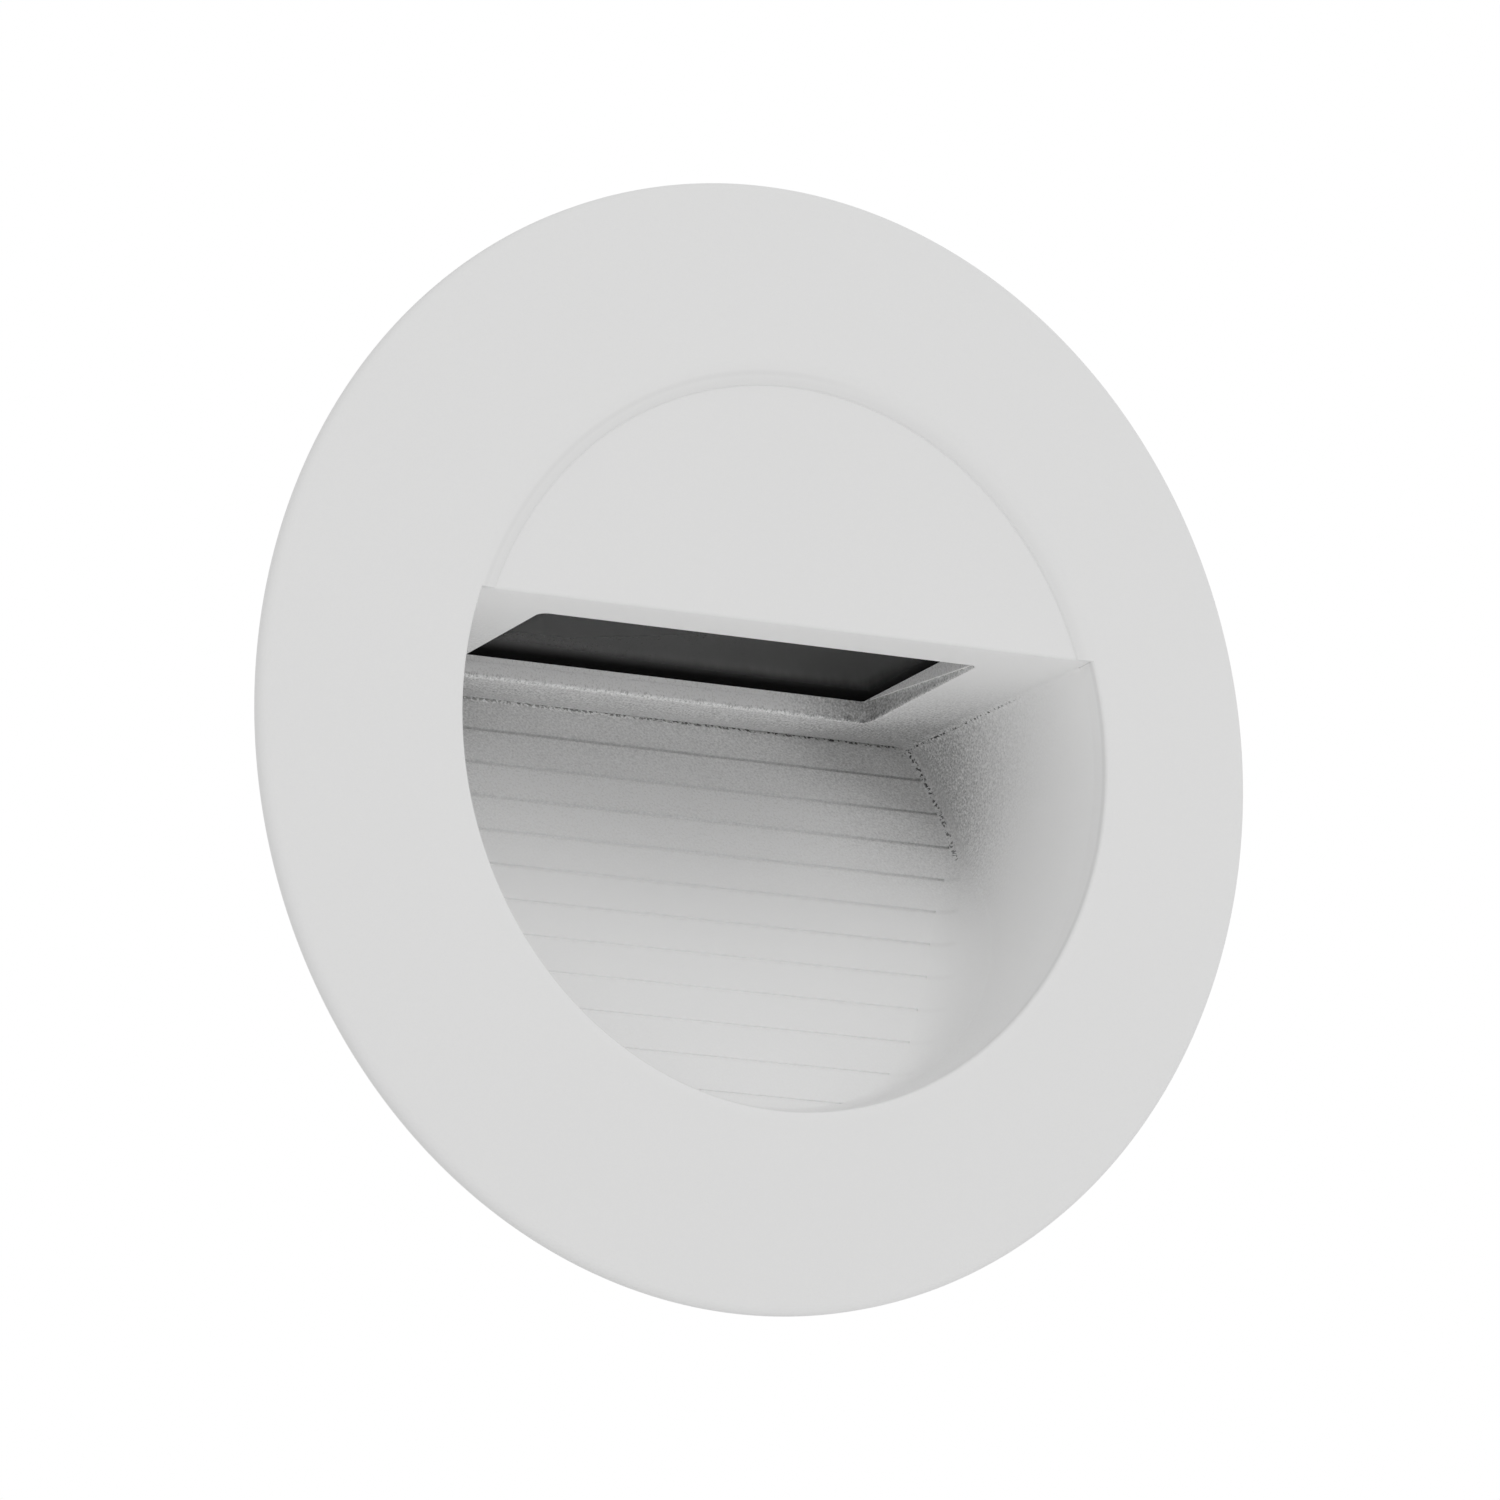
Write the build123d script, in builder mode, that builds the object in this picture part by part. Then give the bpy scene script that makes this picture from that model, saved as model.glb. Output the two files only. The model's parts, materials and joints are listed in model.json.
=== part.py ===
from build123d import *

import os
from math import cos, degrees, pi, radians, sin, sqrt, tan

# A round recessed wall light, in millimetres.
# X is to the right as seen from the front, Y goes into the wall and Z is up.
# The origin is on the light's axis, in the plane of the wall's face.
# A depth is measured into the wall, a rise out of it, and a height up from the axis.

# Clearances
fit_gap = 0.3
seam_gap = 0.12
thread_gap = 0.05
hole_gap = 0.25
running_gap = 0.05
press_gap = 0.01

# Mouth of the recess, which the other round sizes follow
mouth_radius = 39.1

# Bezel ring
bezel_edge = 1.9  # rise of the outer edge
bezel_edge_round = 1.2
bezel_wall = 1.8
bezel_land = 2.5  # flat rim outside the seal
crest_offset = 0.8  # from the mouth out to the crest of the rolled lip
crest_rise = 6.9
crest_round = 4.0
lip_cover = 1.6  # how far the lip reaches over the hood
lip_drop = 0.35  # from the crest back to the lip's edge
lip_edge = 0.35  # thickness left at the lip's edge
boss_radius = 2.6

# Hood: half-moon face plate, shelf and window
hood_edge_height = 12.2
hood_edge_round = 0.35
hood_plate = 2.0
hood_grip = 3.3  # how far the plate reaches under the lip
hood_slope = 7.94  # degrees that the shelf falls to the back
shelf_thickness = 1.9
window_margin = 12.5  # from the mouth's radius to the window's end
window_setback = 5.96  # from the hood's lower edge, along the shelf
window_rear = 6.68  # from the window to the shelf's rear end
window_corner = 0.8
window_edge_round = 0.4

# Recess tub: tapered side wall and grooved sloping back
tub_wall = 1.4
tub_taper = 0.08  # radius lost for each millimetre of depth
tub_flange = 1.5
tub_flange_width = 4.4
rib_depth = 23.74  # depth of the sloping back on the axis
rib_slope = 34.64  # degrees that the back leans away from upright
rib_plate = 1.6
groove_count = 11
groove_pitch = 4.945  # along the slope
groove_top = 4.28  # first groove above the axis, along the slope
groove_width = 0.5
groove_depth = 0.45

# Light module, stacked on the shelf
gasket_thickness = 0.6
lens_thickness = 1.9
lens_overlap = 1.6
lens_edge = 0.3
frame_wall = 1.0
frame_roof = 1.6
pillar_radius = 1.8
pillar_inset = 2.85  # from the window's long edges in to the pillars
board_thickness = 1.0
board_margin = 2.4  # past the pillars, front and rear
chip_count = 8
chip_pitch = 5.6
chip_size = 3.0
chip_height = 0.8
spreader_base = 1.5
fin_count = 9
fin_pitch = 5.2
fin_thickness = 1.4
fin_height = 6.0

# Housing behind the wall face
housing_gap = 0.3  # around the tub
housing_wall = 2.0
housing_taper = 0.07  # radius lost for each millimetre of depth
housing_lip = 1.6
housing_seal_thickness = 0.8
housing_screw_offset = 3.1  # screw circle past the tub's flange
housing_lip_margin = 3.6  # lip past its screw circle
flange_seal_gap = 2.8  # from the housing's lip to the seal
flange_seal_width = 4.2
flange_seal_thickness = 1.4
pad_rise = 1.2  # flat that a clip bracket sits on, past the housing
pad_margin = 2.0  # past the bracket at each side
pad_start = 7.5
pad_end = 1.8  # from the pad to the housing's rear

# Rear cover with its pod
cover_gap = 0.5  # behind the deepest point of the tub
cover_gasket_thickness = 0.6
cover_gasket_width = 4.6
cover_plate = 3.0
cover_inset = 1.4  # cover's edge inside the housing's
cover_boss_radius = 2.8
cover_boss_length = 5.5
pod_gap = 1.2  # round the gland's locknut
pod_wall = 2.2
pod_draft = 4.0  # degrees
pod_length = 15.0
pod_floor = 2.6
pod_round = 2.5

# Driver on the cover, below the recess
driver_spread = 38.0  # degrees from the bottom to each of its lugs
driver_depth = 11.0
driver_wall = 1.4
driver_lid_thickness = 1.4
driver_lug_radius = 2.6
driver_lug_thickness = 2.0

# Terminal block in the pod
block_length = 25.0
block_height = 14.0
block_depth = 11.5
block_drop = 10.0  # below the axis
pole_count = 3
pole_pitch = 8.0
pole_rows = 7.0  # between the two rows of clamping screws
pole_well_radius = 2.0
pole_well_depth = 2.5
pole_entry_radius = 1.5
pole_screw_height = 1.6

# Cable gland in the pod's floor
gland_gap = 4.7  # between the terminal block and the locknut
gland_neck_radius = 6.0
gland_flats = 17.0
hex_sides = 6
gland_flange = 4.5
gland_spigot_radius = 6.6
gland_spigot = 4.5
gland_nut = 4.0
gland_neck_spare = 0.8  # neck past the locknut
gland_seal_length = 3.0
gland_cap_wall = 1.6
gland_cap_end = 2.5
gland_cap_round = 2.0
cable_bore = 4.0

# Spring clips
clip_sheet = 1.2
clip_setback = 7.5  # from the pin to the rear end of the bracket
bracket_width = 18.0
bracket_margin = 1.0  # pad past the bracket, front and rear
bracket_screw_spacing = 10.0
bracket_screw_setback = 2.8
ear_radius = 2.6
pin_radius = 1.25
pin_head_radius = 2.0
pin_head = 0.8
arm_lift = 14.0  # degrees that the free arm leans away from the housing
arm_tip_depth = 3.56  # thinnest wall that the arm can grip
arm_thickness = 1.0
arm_tip_width = 9.0
arm_eye_radius = 2.3
arm_eye_length = 2.2
arm_clearance = 1.5  # between the coil and the strip
sleeve_length = 6.0
sleeve_wall = 0.8
coil_radius = 2.5
coil_pitch = 1.3
coil_turns = 4  # whole turns, before the part turn to the arm
wire_radius = 0.4
foot_share = 0.6  # of the way from the pin to the bracket's screws
foot_bend = 0.9
spring_arm_gap = 2.0  # between the spring's leg and the sleeve

# Screws
small_shank = 1.0
small_head = 1.9
small_head_height = 1.3
large_shank = 1.45
large_head = 2.7
large_head_height = 1.8
head_round = 0.5
drive_width = 0.5
drive_depth = 0.7
screw_tip_gap = 0.3  # below the end of a screw in its hole
screw_angles = (45, 135, 225, 315)

# Round sizes, from the mouth outwards
lip_radius = mouth_radius - lip_cover
crest_radius = mouth_radius + crest_offset
hood_radius = lip_radius + hood_grip
tub_flange_radius = mouth_radius + tub_flange_width
housing_bore = mouth_radius + tub_wall + housing_gap
housing_radius = housing_bore + housing_wall
housing_screw_circle = tub_flange_radius + housing_screw_offset
housing_lip_radius = housing_screw_circle + housing_lip_margin
flange_seal_inner = housing_lip_radius + flange_seal_gap
flange_seal_outer = flange_seal_inner + flange_seal_width
bezel_radius = flange_seal_outer + fit_gap + bezel_land

# Rises of the stacked faces, from the crest back to the wall
hood_face = crest_rise - lip_drop - lip_edge
seat_rise = hood_face - hood_plate
flange_rise = seat_rise - tub_flange
housing_lip_rise = flange_rise - housing_seal_thickness
housing_back_rise = housing_lip_rise - housing_lip
bezel_slope = (crest_rise - bezel_edge) / (bezel_radius - crest_radius)

underside = Plane(
    origin=(0, -hood_face, hood_edge_height),
    x_dir=(1, 0, 0),
    z_dir=(0, sin(radians(hood_slope)), cos(radians(hood_slope))),
)
shelf_top = underside.offset(shelf_thickness)
rib_face = Plane(
    origin=(0, rib_depth, 0),
    x_dir=(1, 0, 0),
    z_dir=(0, -cos(radians(rib_slope)), sin(radians(rib_slope))),
)
rib_back = rib_face.offset(-rib_plate)

# The shelf's underside meets the sloping back at the seam, and its top meets
# the back of the sloping plate at the tub's deepest point.
shelf_fall = tan(radians(hood_slope))
rib_lean = tan(radians(rib_slope))
underside_height = hood_edge_height - hood_face * shelf_fall
seam_depth = (rib_depth + rib_lean * underside_height) / (1 + rib_lean * shelf_fall)
shelf_length = (seam_depth + hood_face) / cos(radians(hood_slope))
shelf_top_height = underside_height + shelf_thickness / cos(radians(hood_slope))
rib_back_depth = rib_depth + rib_plate / cos(radians(rib_slope))
tub_back = (rib_back_depth + rib_lean * shelf_top_height) / (1 + rib_lean * shelf_fall)
housing_depth = tub_back + cover_gap
housing_end_radius = housing_radius - housing_taper * housing_depth

# Rear cover and what its pod holds
cover_front = housing_depth + cover_gasket_thickness
cover_back = cover_front + cover_plate
cover_radius = housing_end_radius - cover_inset
cover_gasket_inner = cover_radius - cover_gasket_width
cover_screw_circle = cover_radius - cover_gasket_width / 2
gland_corner = gland_flats / 2 / cos(pi / hex_sides)
gland_height = block_height / 2 - block_drop + gland_gap + gland_corner
pod_back = cover_back + pod_length
pod_inside = pod_back - pod_floor
pod_bore = gland_height + gland_corner + pod_gap + (pod_inside - cover_front) * tan(radians(pod_draft))
pod_radius = pod_bore + pod_wall
driver_circle = (pod_bore + cover_gasket_inner) / 2
driver_drop = driver_circle * cos(radians(driver_spread))
driver_lug_reach = driver_circle * sin(radians(driver_spread))
driver_length = 2 * (driver_lug_reach - driver_lug_radius)
driver_bottom = sqrt((cover_gasket_inner - fit_gap) ** 2 - (driver_length / 2) ** 2)
driver_height = 2 * (driver_bottom - driver_drop)

# Places on the shelf: across it, back along it and up from it.
window_length = 2 * (mouth_radius - window_margin)
window_depth = shelf_length - window_setback - window_rear
window_centre = window_setback + window_depth / 2
lens_length = window_length + 2 * lens_overlap
lens_depth = window_depth + 2 * lens_overlap
frame_length = lens_length + 2 * (frame_wall + fit_gap)
frame_depth = lens_depth + 2 * (frame_wall + fit_gap)
lens_bottom = shelf_thickness + gasket_thickness
lens_top = lens_bottom + lens_thickness
frame_top = lens_top + frame_roof
board_top = frame_top + board_thickness
spreader_top = board_top + spreader_base
pillar_reach = frame_length / 2 + fit_gap + pillar_radius
pillar_spread = window_depth - 2 * pillar_inset
board_length = 2 * (pillar_reach + pillar_radius)
board_depth = pillar_spread + 2 * (pillar_radius + board_margin)
module_shank = spreader_top - shelf_thickness - screw_tip_gap

# Places of a clip on its pad
pad_height = housing_radius + pad_rise
pad_width = bracket_width + 2 * pad_margin
pad_length = housing_depth - pad_end - pad_start
bracket_start = pad_start + bracket_margin
bracket_length = pad_length - 2 * bracket_margin
bracket_screw_depth = bracket_start + bracket_screw_setback
bracket_top = pad_height + clip_sheet
clip_depth = bracket_start + bracket_length - clip_setback
clip_height = bracket_top + fit_gap + wire_radius + coil_radius
arm_length = (clip_depth - arm_tip_depth) / cos(radians(arm_lift))
arm_window = coil_radius + wire_radius + arm_clearance
spring_arm = arm_length - sleeve_length - spring_arm_gap
spring_foot = (clip_depth - bracket_screw_depth) * foot_share


def at_depth(depth):
    """Plane facing out of the wall: local x is right and local y is up."""
    return Plane.XZ.offset(-depth)


def bezel_front(radius):
    """Depth of the bezel's conical face at a radius, negative in front of the wall."""
    return bezel_slope * (radius - crest_radius) - crest_rise


def recess_radius(depth):
    """Radius of the recess wall at a depth."""
    return mouth_radius - tub_taper * (depth + seat_rise)


def housing_inner(depth):
    """Radius of the housing's bore at a depth."""
    return housing_bore - housing_taper * depth


def around(radius, depth):
    """Planes facing the back at the four screw angles."""
    places = []
    for angle in screw_angles:
        centre = (radius * cos(radians(angle)), depth, radius * sin(radians(angle)))
        places.append(Plane(origin=centre, x_dir=(1, 0, 0), z_dir=(0, 1, 0)))
    return places


def pan_screw(shank_radius, shank_length, head_radius, head_height):
    """A pan head screw with a cross drive, its head's seat on the XY plane."""
    with BuildPart() as screw:
        with BuildSketch():
            Circle(head_radius)
        extrude(amount=head_height)
        fillet(screw.edges().group_by(Axis.Z)[-1], head_round)
        with BuildSketch(Plane.XY.offset(head_height)):
            Rectangle(head_radius, drive_width)
            Rectangle(drive_width, head_radius)
        extrude(amount=-drive_depth, mode=Mode.SUBTRACT)
        with BuildSketch():
            Circle(shank_radius)
        extrude(amount=-shank_length)
    return screw.part


def turned(outline):
    """A solid of revolution about the light's axis from points of radius and depth."""
    with BuildPart() as body:
        with BuildSketch(Plane.XY):
            with BuildLine():
                Polyline(*outline, close=True)
            make_face()
        revolve(axis=Axis.Y)
    return body.part


# Space inside the recess, from the mouth to well past the back
recess_reach = 2 * housing_depth
recess_space = turned(
    [
        (0, -seat_rise),
        (recess_radius(-seat_rise), -seat_rise),
        (recess_radius(recess_reach), recess_reach),
        (0, recess_reach),
    ]
)

# Bezel ring: cone, rolled lip, pocket for the hood and bosses for the housing screws
pocket_radius = tub_flange_radius + fit_gap
seal_groove_inner = flange_seal_inner - fit_gap
seal_groove_outer = flange_seal_outer + fit_gap
boss_end = -bezel_front(housing_screw_circle) - bezel_wall / 2

with BuildPart() as hood_pocket:
    with BuildSketch(at_depth(-seat_rise)):
        Circle(hood_radius + fit_gap)
    extrude(amount=hood_plate)
    split(bisect_by=underside, keep=Keep.TOP)

with BuildPart() as mouth:
    with BuildSketch(at_depth(-seat_rise)):
        Circle(mouth_radius)
    extrude(amount=crest_rise)
    split(bisect_by=underside, keep=Keep.BOTTOM)

with BuildPart() as bezel_ring:
    with BuildSketch(Plane.XY) as bezel_section:
        with BuildLine():
            Polyline(
                (bezel_radius, 0),
                (bezel_radius, -bezel_edge),
                (crest_radius, -crest_rise),
                (lip_radius, lip_drop - crest_rise),
                (lip_radius, -seat_rise),
                (pocket_radius, -seat_rise),
                (seal_groove_inner, bezel_front(seal_groove_inner) + bezel_wall),
                (seal_groove_inner, -flange_seal_thickness),
                (seal_groove_outer, -flange_seal_thickness),
                (seal_groove_outer, 0),
                close=True,
            )
        make_face()
        front_corners = bezel_section.vertices().group_by(Axis.Y)
        fillet(front_corners[0], crest_round)
        fillet(bezel_section.vertices().sort_by_distance((bezel_radius, -bezel_edge))[0], bezel_edge_round)
    revolve(axis=Axis.Y)
    with BuildSketch(at_depth(-housing_lip_rise)):
        with PolarLocations(housing_screw_circle, len(screw_angles), screw_angles[0]):
            Circle(boss_radius)
    extrude(amount=boss_end - housing_lip_rise)
    with BuildSketch(at_depth(-housing_lip_rise)):
        with PolarLocations(housing_screw_circle, len(screw_angles), screw_angles[0]):
            Circle(large_shank + thread_gap)
    extrude(amount=boss_end - housing_lip_rise, mode=Mode.SUBTRACT)
    add(hood_pocket.part, mode=Mode.SUBTRACT)
    add(mouth.part, mode=Mode.SUBTRACT)

# Hood: face plate held under the lip, and a shelf with the window and four pillars
shelf_outline = turned(
    [
        (0, -seat_rise),
        (recess_radius(-seat_rise) - seam_gap, -seat_rise),
        (recess_radius(recess_reach) - seam_gap, recess_reach),
        (0, recess_reach),
    ]
)

with BuildPart() as hood:
    add(shelf_outline)
    split(bisect_by=rib_face.offset(seam_gap), keep=Keep.TOP)
    split(bisect_by=shelf_top, keep=Keep.BOTTOM)
    with BuildSketch(at_depth(-seat_rise)):
        Circle(hood_radius)
    extrude(amount=hood_plate)
    split(bisect_by=underside, keep=Keep.TOP)
    with BuildSketch(shelf_top):
        with Locations((0, window_centre)):
            with GridLocations(2 * pillar_reach, pillar_spread, 2, 2):
                Circle(pillar_radius)
    extrude(amount=frame_top - shelf_thickness)
    with BuildSketch(underside.offset(frame_top)):
        with Locations((0, window_centre)):
            with GridLocations(2 * pillar_reach, pillar_spread, 2, 2):
                Circle(small_shank + thread_gap)
    extrude(amount=shelf_thickness - frame_top, mode=Mode.SUBTRACT)
    with BuildSketch(underside):
        with Locations((0, window_centre)):
            RectangleRounded(window_length, window_depth, window_corner)
    extrude(amount=shelf_thickness, mode=Mode.SUBTRACT)
    shelf_axis = Axis(underside.origin, underside.z_dir)
    shelf_face = hood.faces().filter_by(shelf_axis).sort_by(shelf_axis)[0]
    fillet(shelf_face.inner_wires()[0].edges(), window_edge_round)
    front_edge = hood.edges().filter_by(Axis.X).sort_by(Axis.Y)[0]
    fillet(front_edge, hood_edge_round)

# Recess tub: clamping flange, tapered wall and sloping back with its grooves
with BuildPart() as grooves:
    with BuildSketch(rib_face):
        for number in range(groove_count):
            with Locations((0, groove_top - number * groove_pitch)):
                Rectangle(2 * mouth_radius, groove_width)
    extrude(amount=-groove_depth)
    add(recess_space, mode=Mode.INTERSECT)

with BuildPart() as recess_front:
    add(recess_space)
    split(bisect_by=rib_face, keep=Keep.TOP)

tub_body = turned(
    [
        (0, -seat_rise),
        (recess_radius(-seat_rise) + tub_wall, -seat_rise),
        (recess_radius(recess_reach) + tub_wall, recess_reach),
        (0, recess_reach),
    ]
)

with BuildPart() as recess_tub:
    add(tub_body)
    split(bisect_by=rib_back, keep=Keep.TOP)
    split(bisect_by=shelf_top, keep=Keep.BOTTOM)
    with BuildSketch(at_depth(-seat_rise)):
        Circle(tub_flange_radius)
    extrude(amount=-tub_flange)
    add(recess_front.part, mode=Mode.SUBTRACT)
    add(grooves.part, mode=Mode.SUBTRACT)

# Lens, its gasket and the frame that holds it down
with BuildPart() as lens_gasket:
    with BuildSketch(shelf_top):
        with Locations((0, window_centre)):
            Rectangle(lens_length, lens_depth)
            RectangleRounded(window_length, window_depth, window_corner, mode=Mode.SUBTRACT)
    extrude(amount=gasket_thickness)

with BuildPart() as lens:
    with BuildSketch(underside.offset(lens_bottom)):
        with Locations((0, window_centre)):
            Rectangle(lens_length, lens_depth)
    extrude(amount=lens_thickness)
    chamfer(lens.edges().filter_by(shelf_axis), lens_edge)

with BuildPart() as lens_frame:
    with BuildSketch(shelf_top):
        with Locations((0, window_centre)):
            Rectangle(frame_length, frame_depth)
            Rectangle(window_length, window_depth, mode=Mode.SUBTRACT)
    extrude(amount=frame_top - shelf_thickness)
    with BuildSketch(shelf_top):
        with Locations((0, window_centre)):
            Rectangle(lens_length + 2 * fit_gap, lens_depth + 2 * fit_gap)
    extrude(amount=lens_top - shelf_thickness, mode=Mode.SUBTRACT)

# Light board with its chips on the underside, and the heat spreader above
with BuildPart() as led_board:
    with BuildSketch(underside.offset(frame_top)):
        with Locations((0, window_centre)):
            Rectangle(board_length, board_depth)
            with GridLocations(2 * pillar_reach, pillar_spread, 2, 2):
                Circle(small_shank + hole_gap, mode=Mode.SUBTRACT)
    extrude(amount=board_thickness)

with BuildPart() as led_chips:
    with BuildSketch(underside.offset(frame_top)):
        with Locations((0, window_centre)):
            with GridLocations(chip_pitch, 1, chip_count, 1):
                Rectangle(chip_size, chip_size)
    extrude(amount=-chip_height)

with BuildPart() as heat_spreader:
    with BuildSketch(underside.offset(board_top)):
        with Locations((0, window_centre)):
            Rectangle(board_length, board_depth)
            with GridLocations(2 * pillar_reach, pillar_spread, 2, 2):
                Circle(small_shank + hole_gap, mode=Mode.SUBTRACT)
    extrude(amount=spreader_base)
    with BuildSketch(underside.offset(spreader_top)):
        with Locations((0, window_centre)):
            with GridLocations(fin_pitch, 1, fin_count, 1):
                Rectangle(fin_thickness, board_depth)
    extrude(amount=fin_height)

with BuildPart(underside.offset(spreader_top)) as module_screws:
    with Locations((0, window_centre)):
        with GridLocations(2 * pillar_reach, pillar_spread, 2, 2):
            add(pan_screw(small_shank, module_shank, small_head, small_head_height))

# Housing: tapered drum with a front lip, clip pads and bosses for the cover
housing_drum = turned(
    [
        (0, -housing_lip_rise),
        (housing_radius, -housing_lip_rise),
        (housing_radius, 0),
        (housing_end_radius, housing_depth),
        (0, housing_depth),
    ]
)
housing_space = turned(
    [
        (0, -housing_lip_rise),
        (housing_bore, -housing_lip_rise),
        (housing_bore, 0),
        (housing_inner(housing_depth), housing_depth),
        (0, housing_depth),
    ]
)
pad_centre = pad_start + pad_length / 2
pad_base = sqrt(housing_inner(pad_start + pad_length) ** 2 - (pad_width / 2) ** 2)
pad_hole = (pad_height - housing_inner(pad_start)) / 2

with BuildPart() as housing:
    add(housing_drum)
    with BuildSketch(at_depth(-housing_back_rise)):
        Circle(housing_lip_radius)
    extrude(amount=housing_lip)
    with BuildSketch(Plane.XY.offset(pad_height)):
        with Locations((0, pad_centre)):
            Rectangle(pad_width, pad_length)
    extrude(amount=pad_base - pad_height)
    with BuildSketch(Plane.XY.offset(pad_height)):
        with Locations((0, bracket_screw_depth)):
            with GridLocations(bracket_screw_spacing, 1, 2, 1):
                Circle(small_shank + thread_gap)
    extrude(amount=-pad_hole, mode=Mode.SUBTRACT)
    split(bisect_by=Plane.XY, keep=Keep.TOP)
    mirror(about=Plane.XY)
    add(housing_space, mode=Mode.SUBTRACT)
    with BuildSketch(at_depth(housing_depth)):
        with PolarLocations(cover_screw_circle, len(screw_angles), screw_angles[0]):
            Circle(cover_boss_radius)
    extrude(amount=cover_boss_length)
    with BuildSketch(at_depth(housing_depth)):
        with PolarLocations(cover_screw_circle, len(screw_angles), screw_angles[0]):
            Circle(large_shank + thread_gap)
    extrude(amount=cover_boss_length, mode=Mode.SUBTRACT)
    with BuildSketch(at_depth(-housing_lip_rise)):
        with PolarLocations(housing_screw_circle, len(screw_angles), screw_angles[0]):
            Circle(large_shank + hole_gap)
    extrude(amount=-housing_lip, mode=Mode.SUBTRACT)

with BuildPart() as housing_seal:
    with BuildSketch(at_depth(-flange_rise)):
        Circle(tub_flange_radius)
        Circle(housing_bore, mode=Mode.SUBTRACT)
    extrude(amount=-housing_seal_thickness)

with BuildPart() as housing_screws:
    with Locations(*around(housing_screw_circle, -housing_back_rise)):
        add(
            pan_screw(
                large_shank,
                boss_end - housing_back_rise - screw_tip_gap,
                large_head,
                large_head_height,
            )
        )

with BuildPart() as flange_seal:
    with BuildSketch(at_depth(-flange_seal_thickness)):
        Circle(flange_seal_outer)
        Circle(flange_seal_inner, mode=Mode.SUBTRACT)
    extrude(amount=-flange_seal_thickness)

# Rear cover: a flat rim and a drafted pod for the terminals
with BuildPart() as cover_gasket:
    with BuildSketch(at_depth(housing_depth)):
        Circle(cover_radius)
        Circle(cover_gasket_inner, mode=Mode.SUBTRACT)
        with PolarLocations(cover_screw_circle, len(screw_angles), screw_angles[0]):
            Circle(large_shank + hole_gap, mode=Mode.SUBTRACT)
    extrude(amount=-cover_gasket_thickness)

block_fix_spacing = pole_pitch
fix_hole = pod_floor - screw_tip_gap
lug_hole = cover_plate - screw_tip_gap

with BuildPart() as pod_core:
    with BuildSketch(at_depth(cover_front)):
        Circle(pod_bore)
    extrude(amount=cover_front - pod_inside, taper=pod_draft)

with BuildPart() as rear_cover:
    with BuildSketch(at_depth(cover_front)):
        Circle(pod_radius)
    extrude(amount=cover_front - pod_back, taper=pod_draft)
    fillet(rear_cover.edges().sort_by(Axis.Y)[-1], pod_round)
    with BuildSketch(at_depth(cover_front)):
        Circle(cover_radius)
        with PolarLocations(cover_screw_circle, len(screw_angles), screw_angles[0]):
            Circle(large_shank + hole_gap, mode=Mode.SUBTRACT)
    extrude(amount=-cover_plate)
    add(pod_core.part, mode=Mode.SUBTRACT)
    with BuildSketch(at_depth(pod_back)):
        with Locations((0, gland_height)):
            Circle(gland_neck_radius + hole_gap)
    extrude(amount=pod_floor, mode=Mode.SUBTRACT)
    with BuildSketch(at_depth(pod_inside)):
        with Locations((0, -block_drop)):
            with GridLocations(block_fix_spacing, 1, 2, 1):
                Circle(small_shank + thread_gap)
    extrude(amount=-fix_hole, mode=Mode.SUBTRACT)
    with BuildSketch(at_depth(cover_front)):
        with Locations((0, -driver_drop)):
            with GridLocations(2 * driver_lug_reach, 1, 2, 1):
                Circle(small_shank + thread_gap)
    extrude(amount=-lug_hole, mode=Mode.SUBTRACT)

with BuildPart() as cover_screws:
    with Locations(*around(cover_screw_circle, cover_back)):
        add(
            pan_screw(
                large_shank,
                cover_back - housing_depth + cover_boss_length - screw_tip_gap,
                large_head,
                large_head_height,
            )
        )

# Driver: a box with two lugs, screwed to the cover, and its lid
driver_front = cover_front - driver_depth

with BuildPart() as driver_case:
    with BuildSketch(at_depth(cover_front)):
        with Locations((0, -driver_drop)):
            Rectangle(2 * driver_lug_reach, 2 * driver_lug_radius)
            with GridLocations(2 * driver_lug_reach, 1, 2, 1):
                Circle(driver_lug_radius)
            with GridLocations(2 * driver_lug_reach, 1, 2, 1):
                Circle(small_shank + hole_gap, mode=Mode.SUBTRACT)
    extrude(amount=driver_lug_thickness)
    with BuildSketch(at_depth(cover_front)):
        with Locations((0, -driver_drop)):
            Rectangle(driver_length, driver_height)
    extrude(amount=driver_depth)
    with BuildSketch(at_depth(driver_front)):
        with Locations((0, -driver_drop)):
            Rectangle(driver_length - 2 * driver_wall, driver_height - 2 * driver_wall)
    extrude(amount=driver_wall - driver_depth, mode=Mode.SUBTRACT)

with BuildPart() as driver_lid:
    with BuildSketch(at_depth(driver_front)):
        with Locations((0, -driver_drop)):
            Rectangle(driver_length, driver_height)
    extrude(amount=driver_lid_thickness)
    chamfer(driver_lid.faces().sort_by(Axis.Y)[0].edges(), driver_lid_thickness / 2)
    with BuildSketch(at_depth(driver_front)):
        with Locations((0, -driver_drop)):
            Rectangle(
                driver_length - 2 * (driver_wall + seam_gap),
                driver_height - 2 * (driver_wall + seam_gap),
            )
    extrude(amount=-driver_lid_thickness)

with BuildPart(at_depth(cover_front - driver_lug_thickness)) as driver_screws:
    with Locations((0, -driver_drop)):
        with GridLocations(2 * driver_lug_reach, 1, 2, 1):
            add(
                pan_screw(
                    small_shank,
                    driver_lug_thickness + lug_hole - screw_tip_gap,
                    small_head,
                    small_head_height,
                )
            )

# Terminal block on the pod's floor, with its clamping screws and fixings
block_front = pod_inside - block_depth

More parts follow.
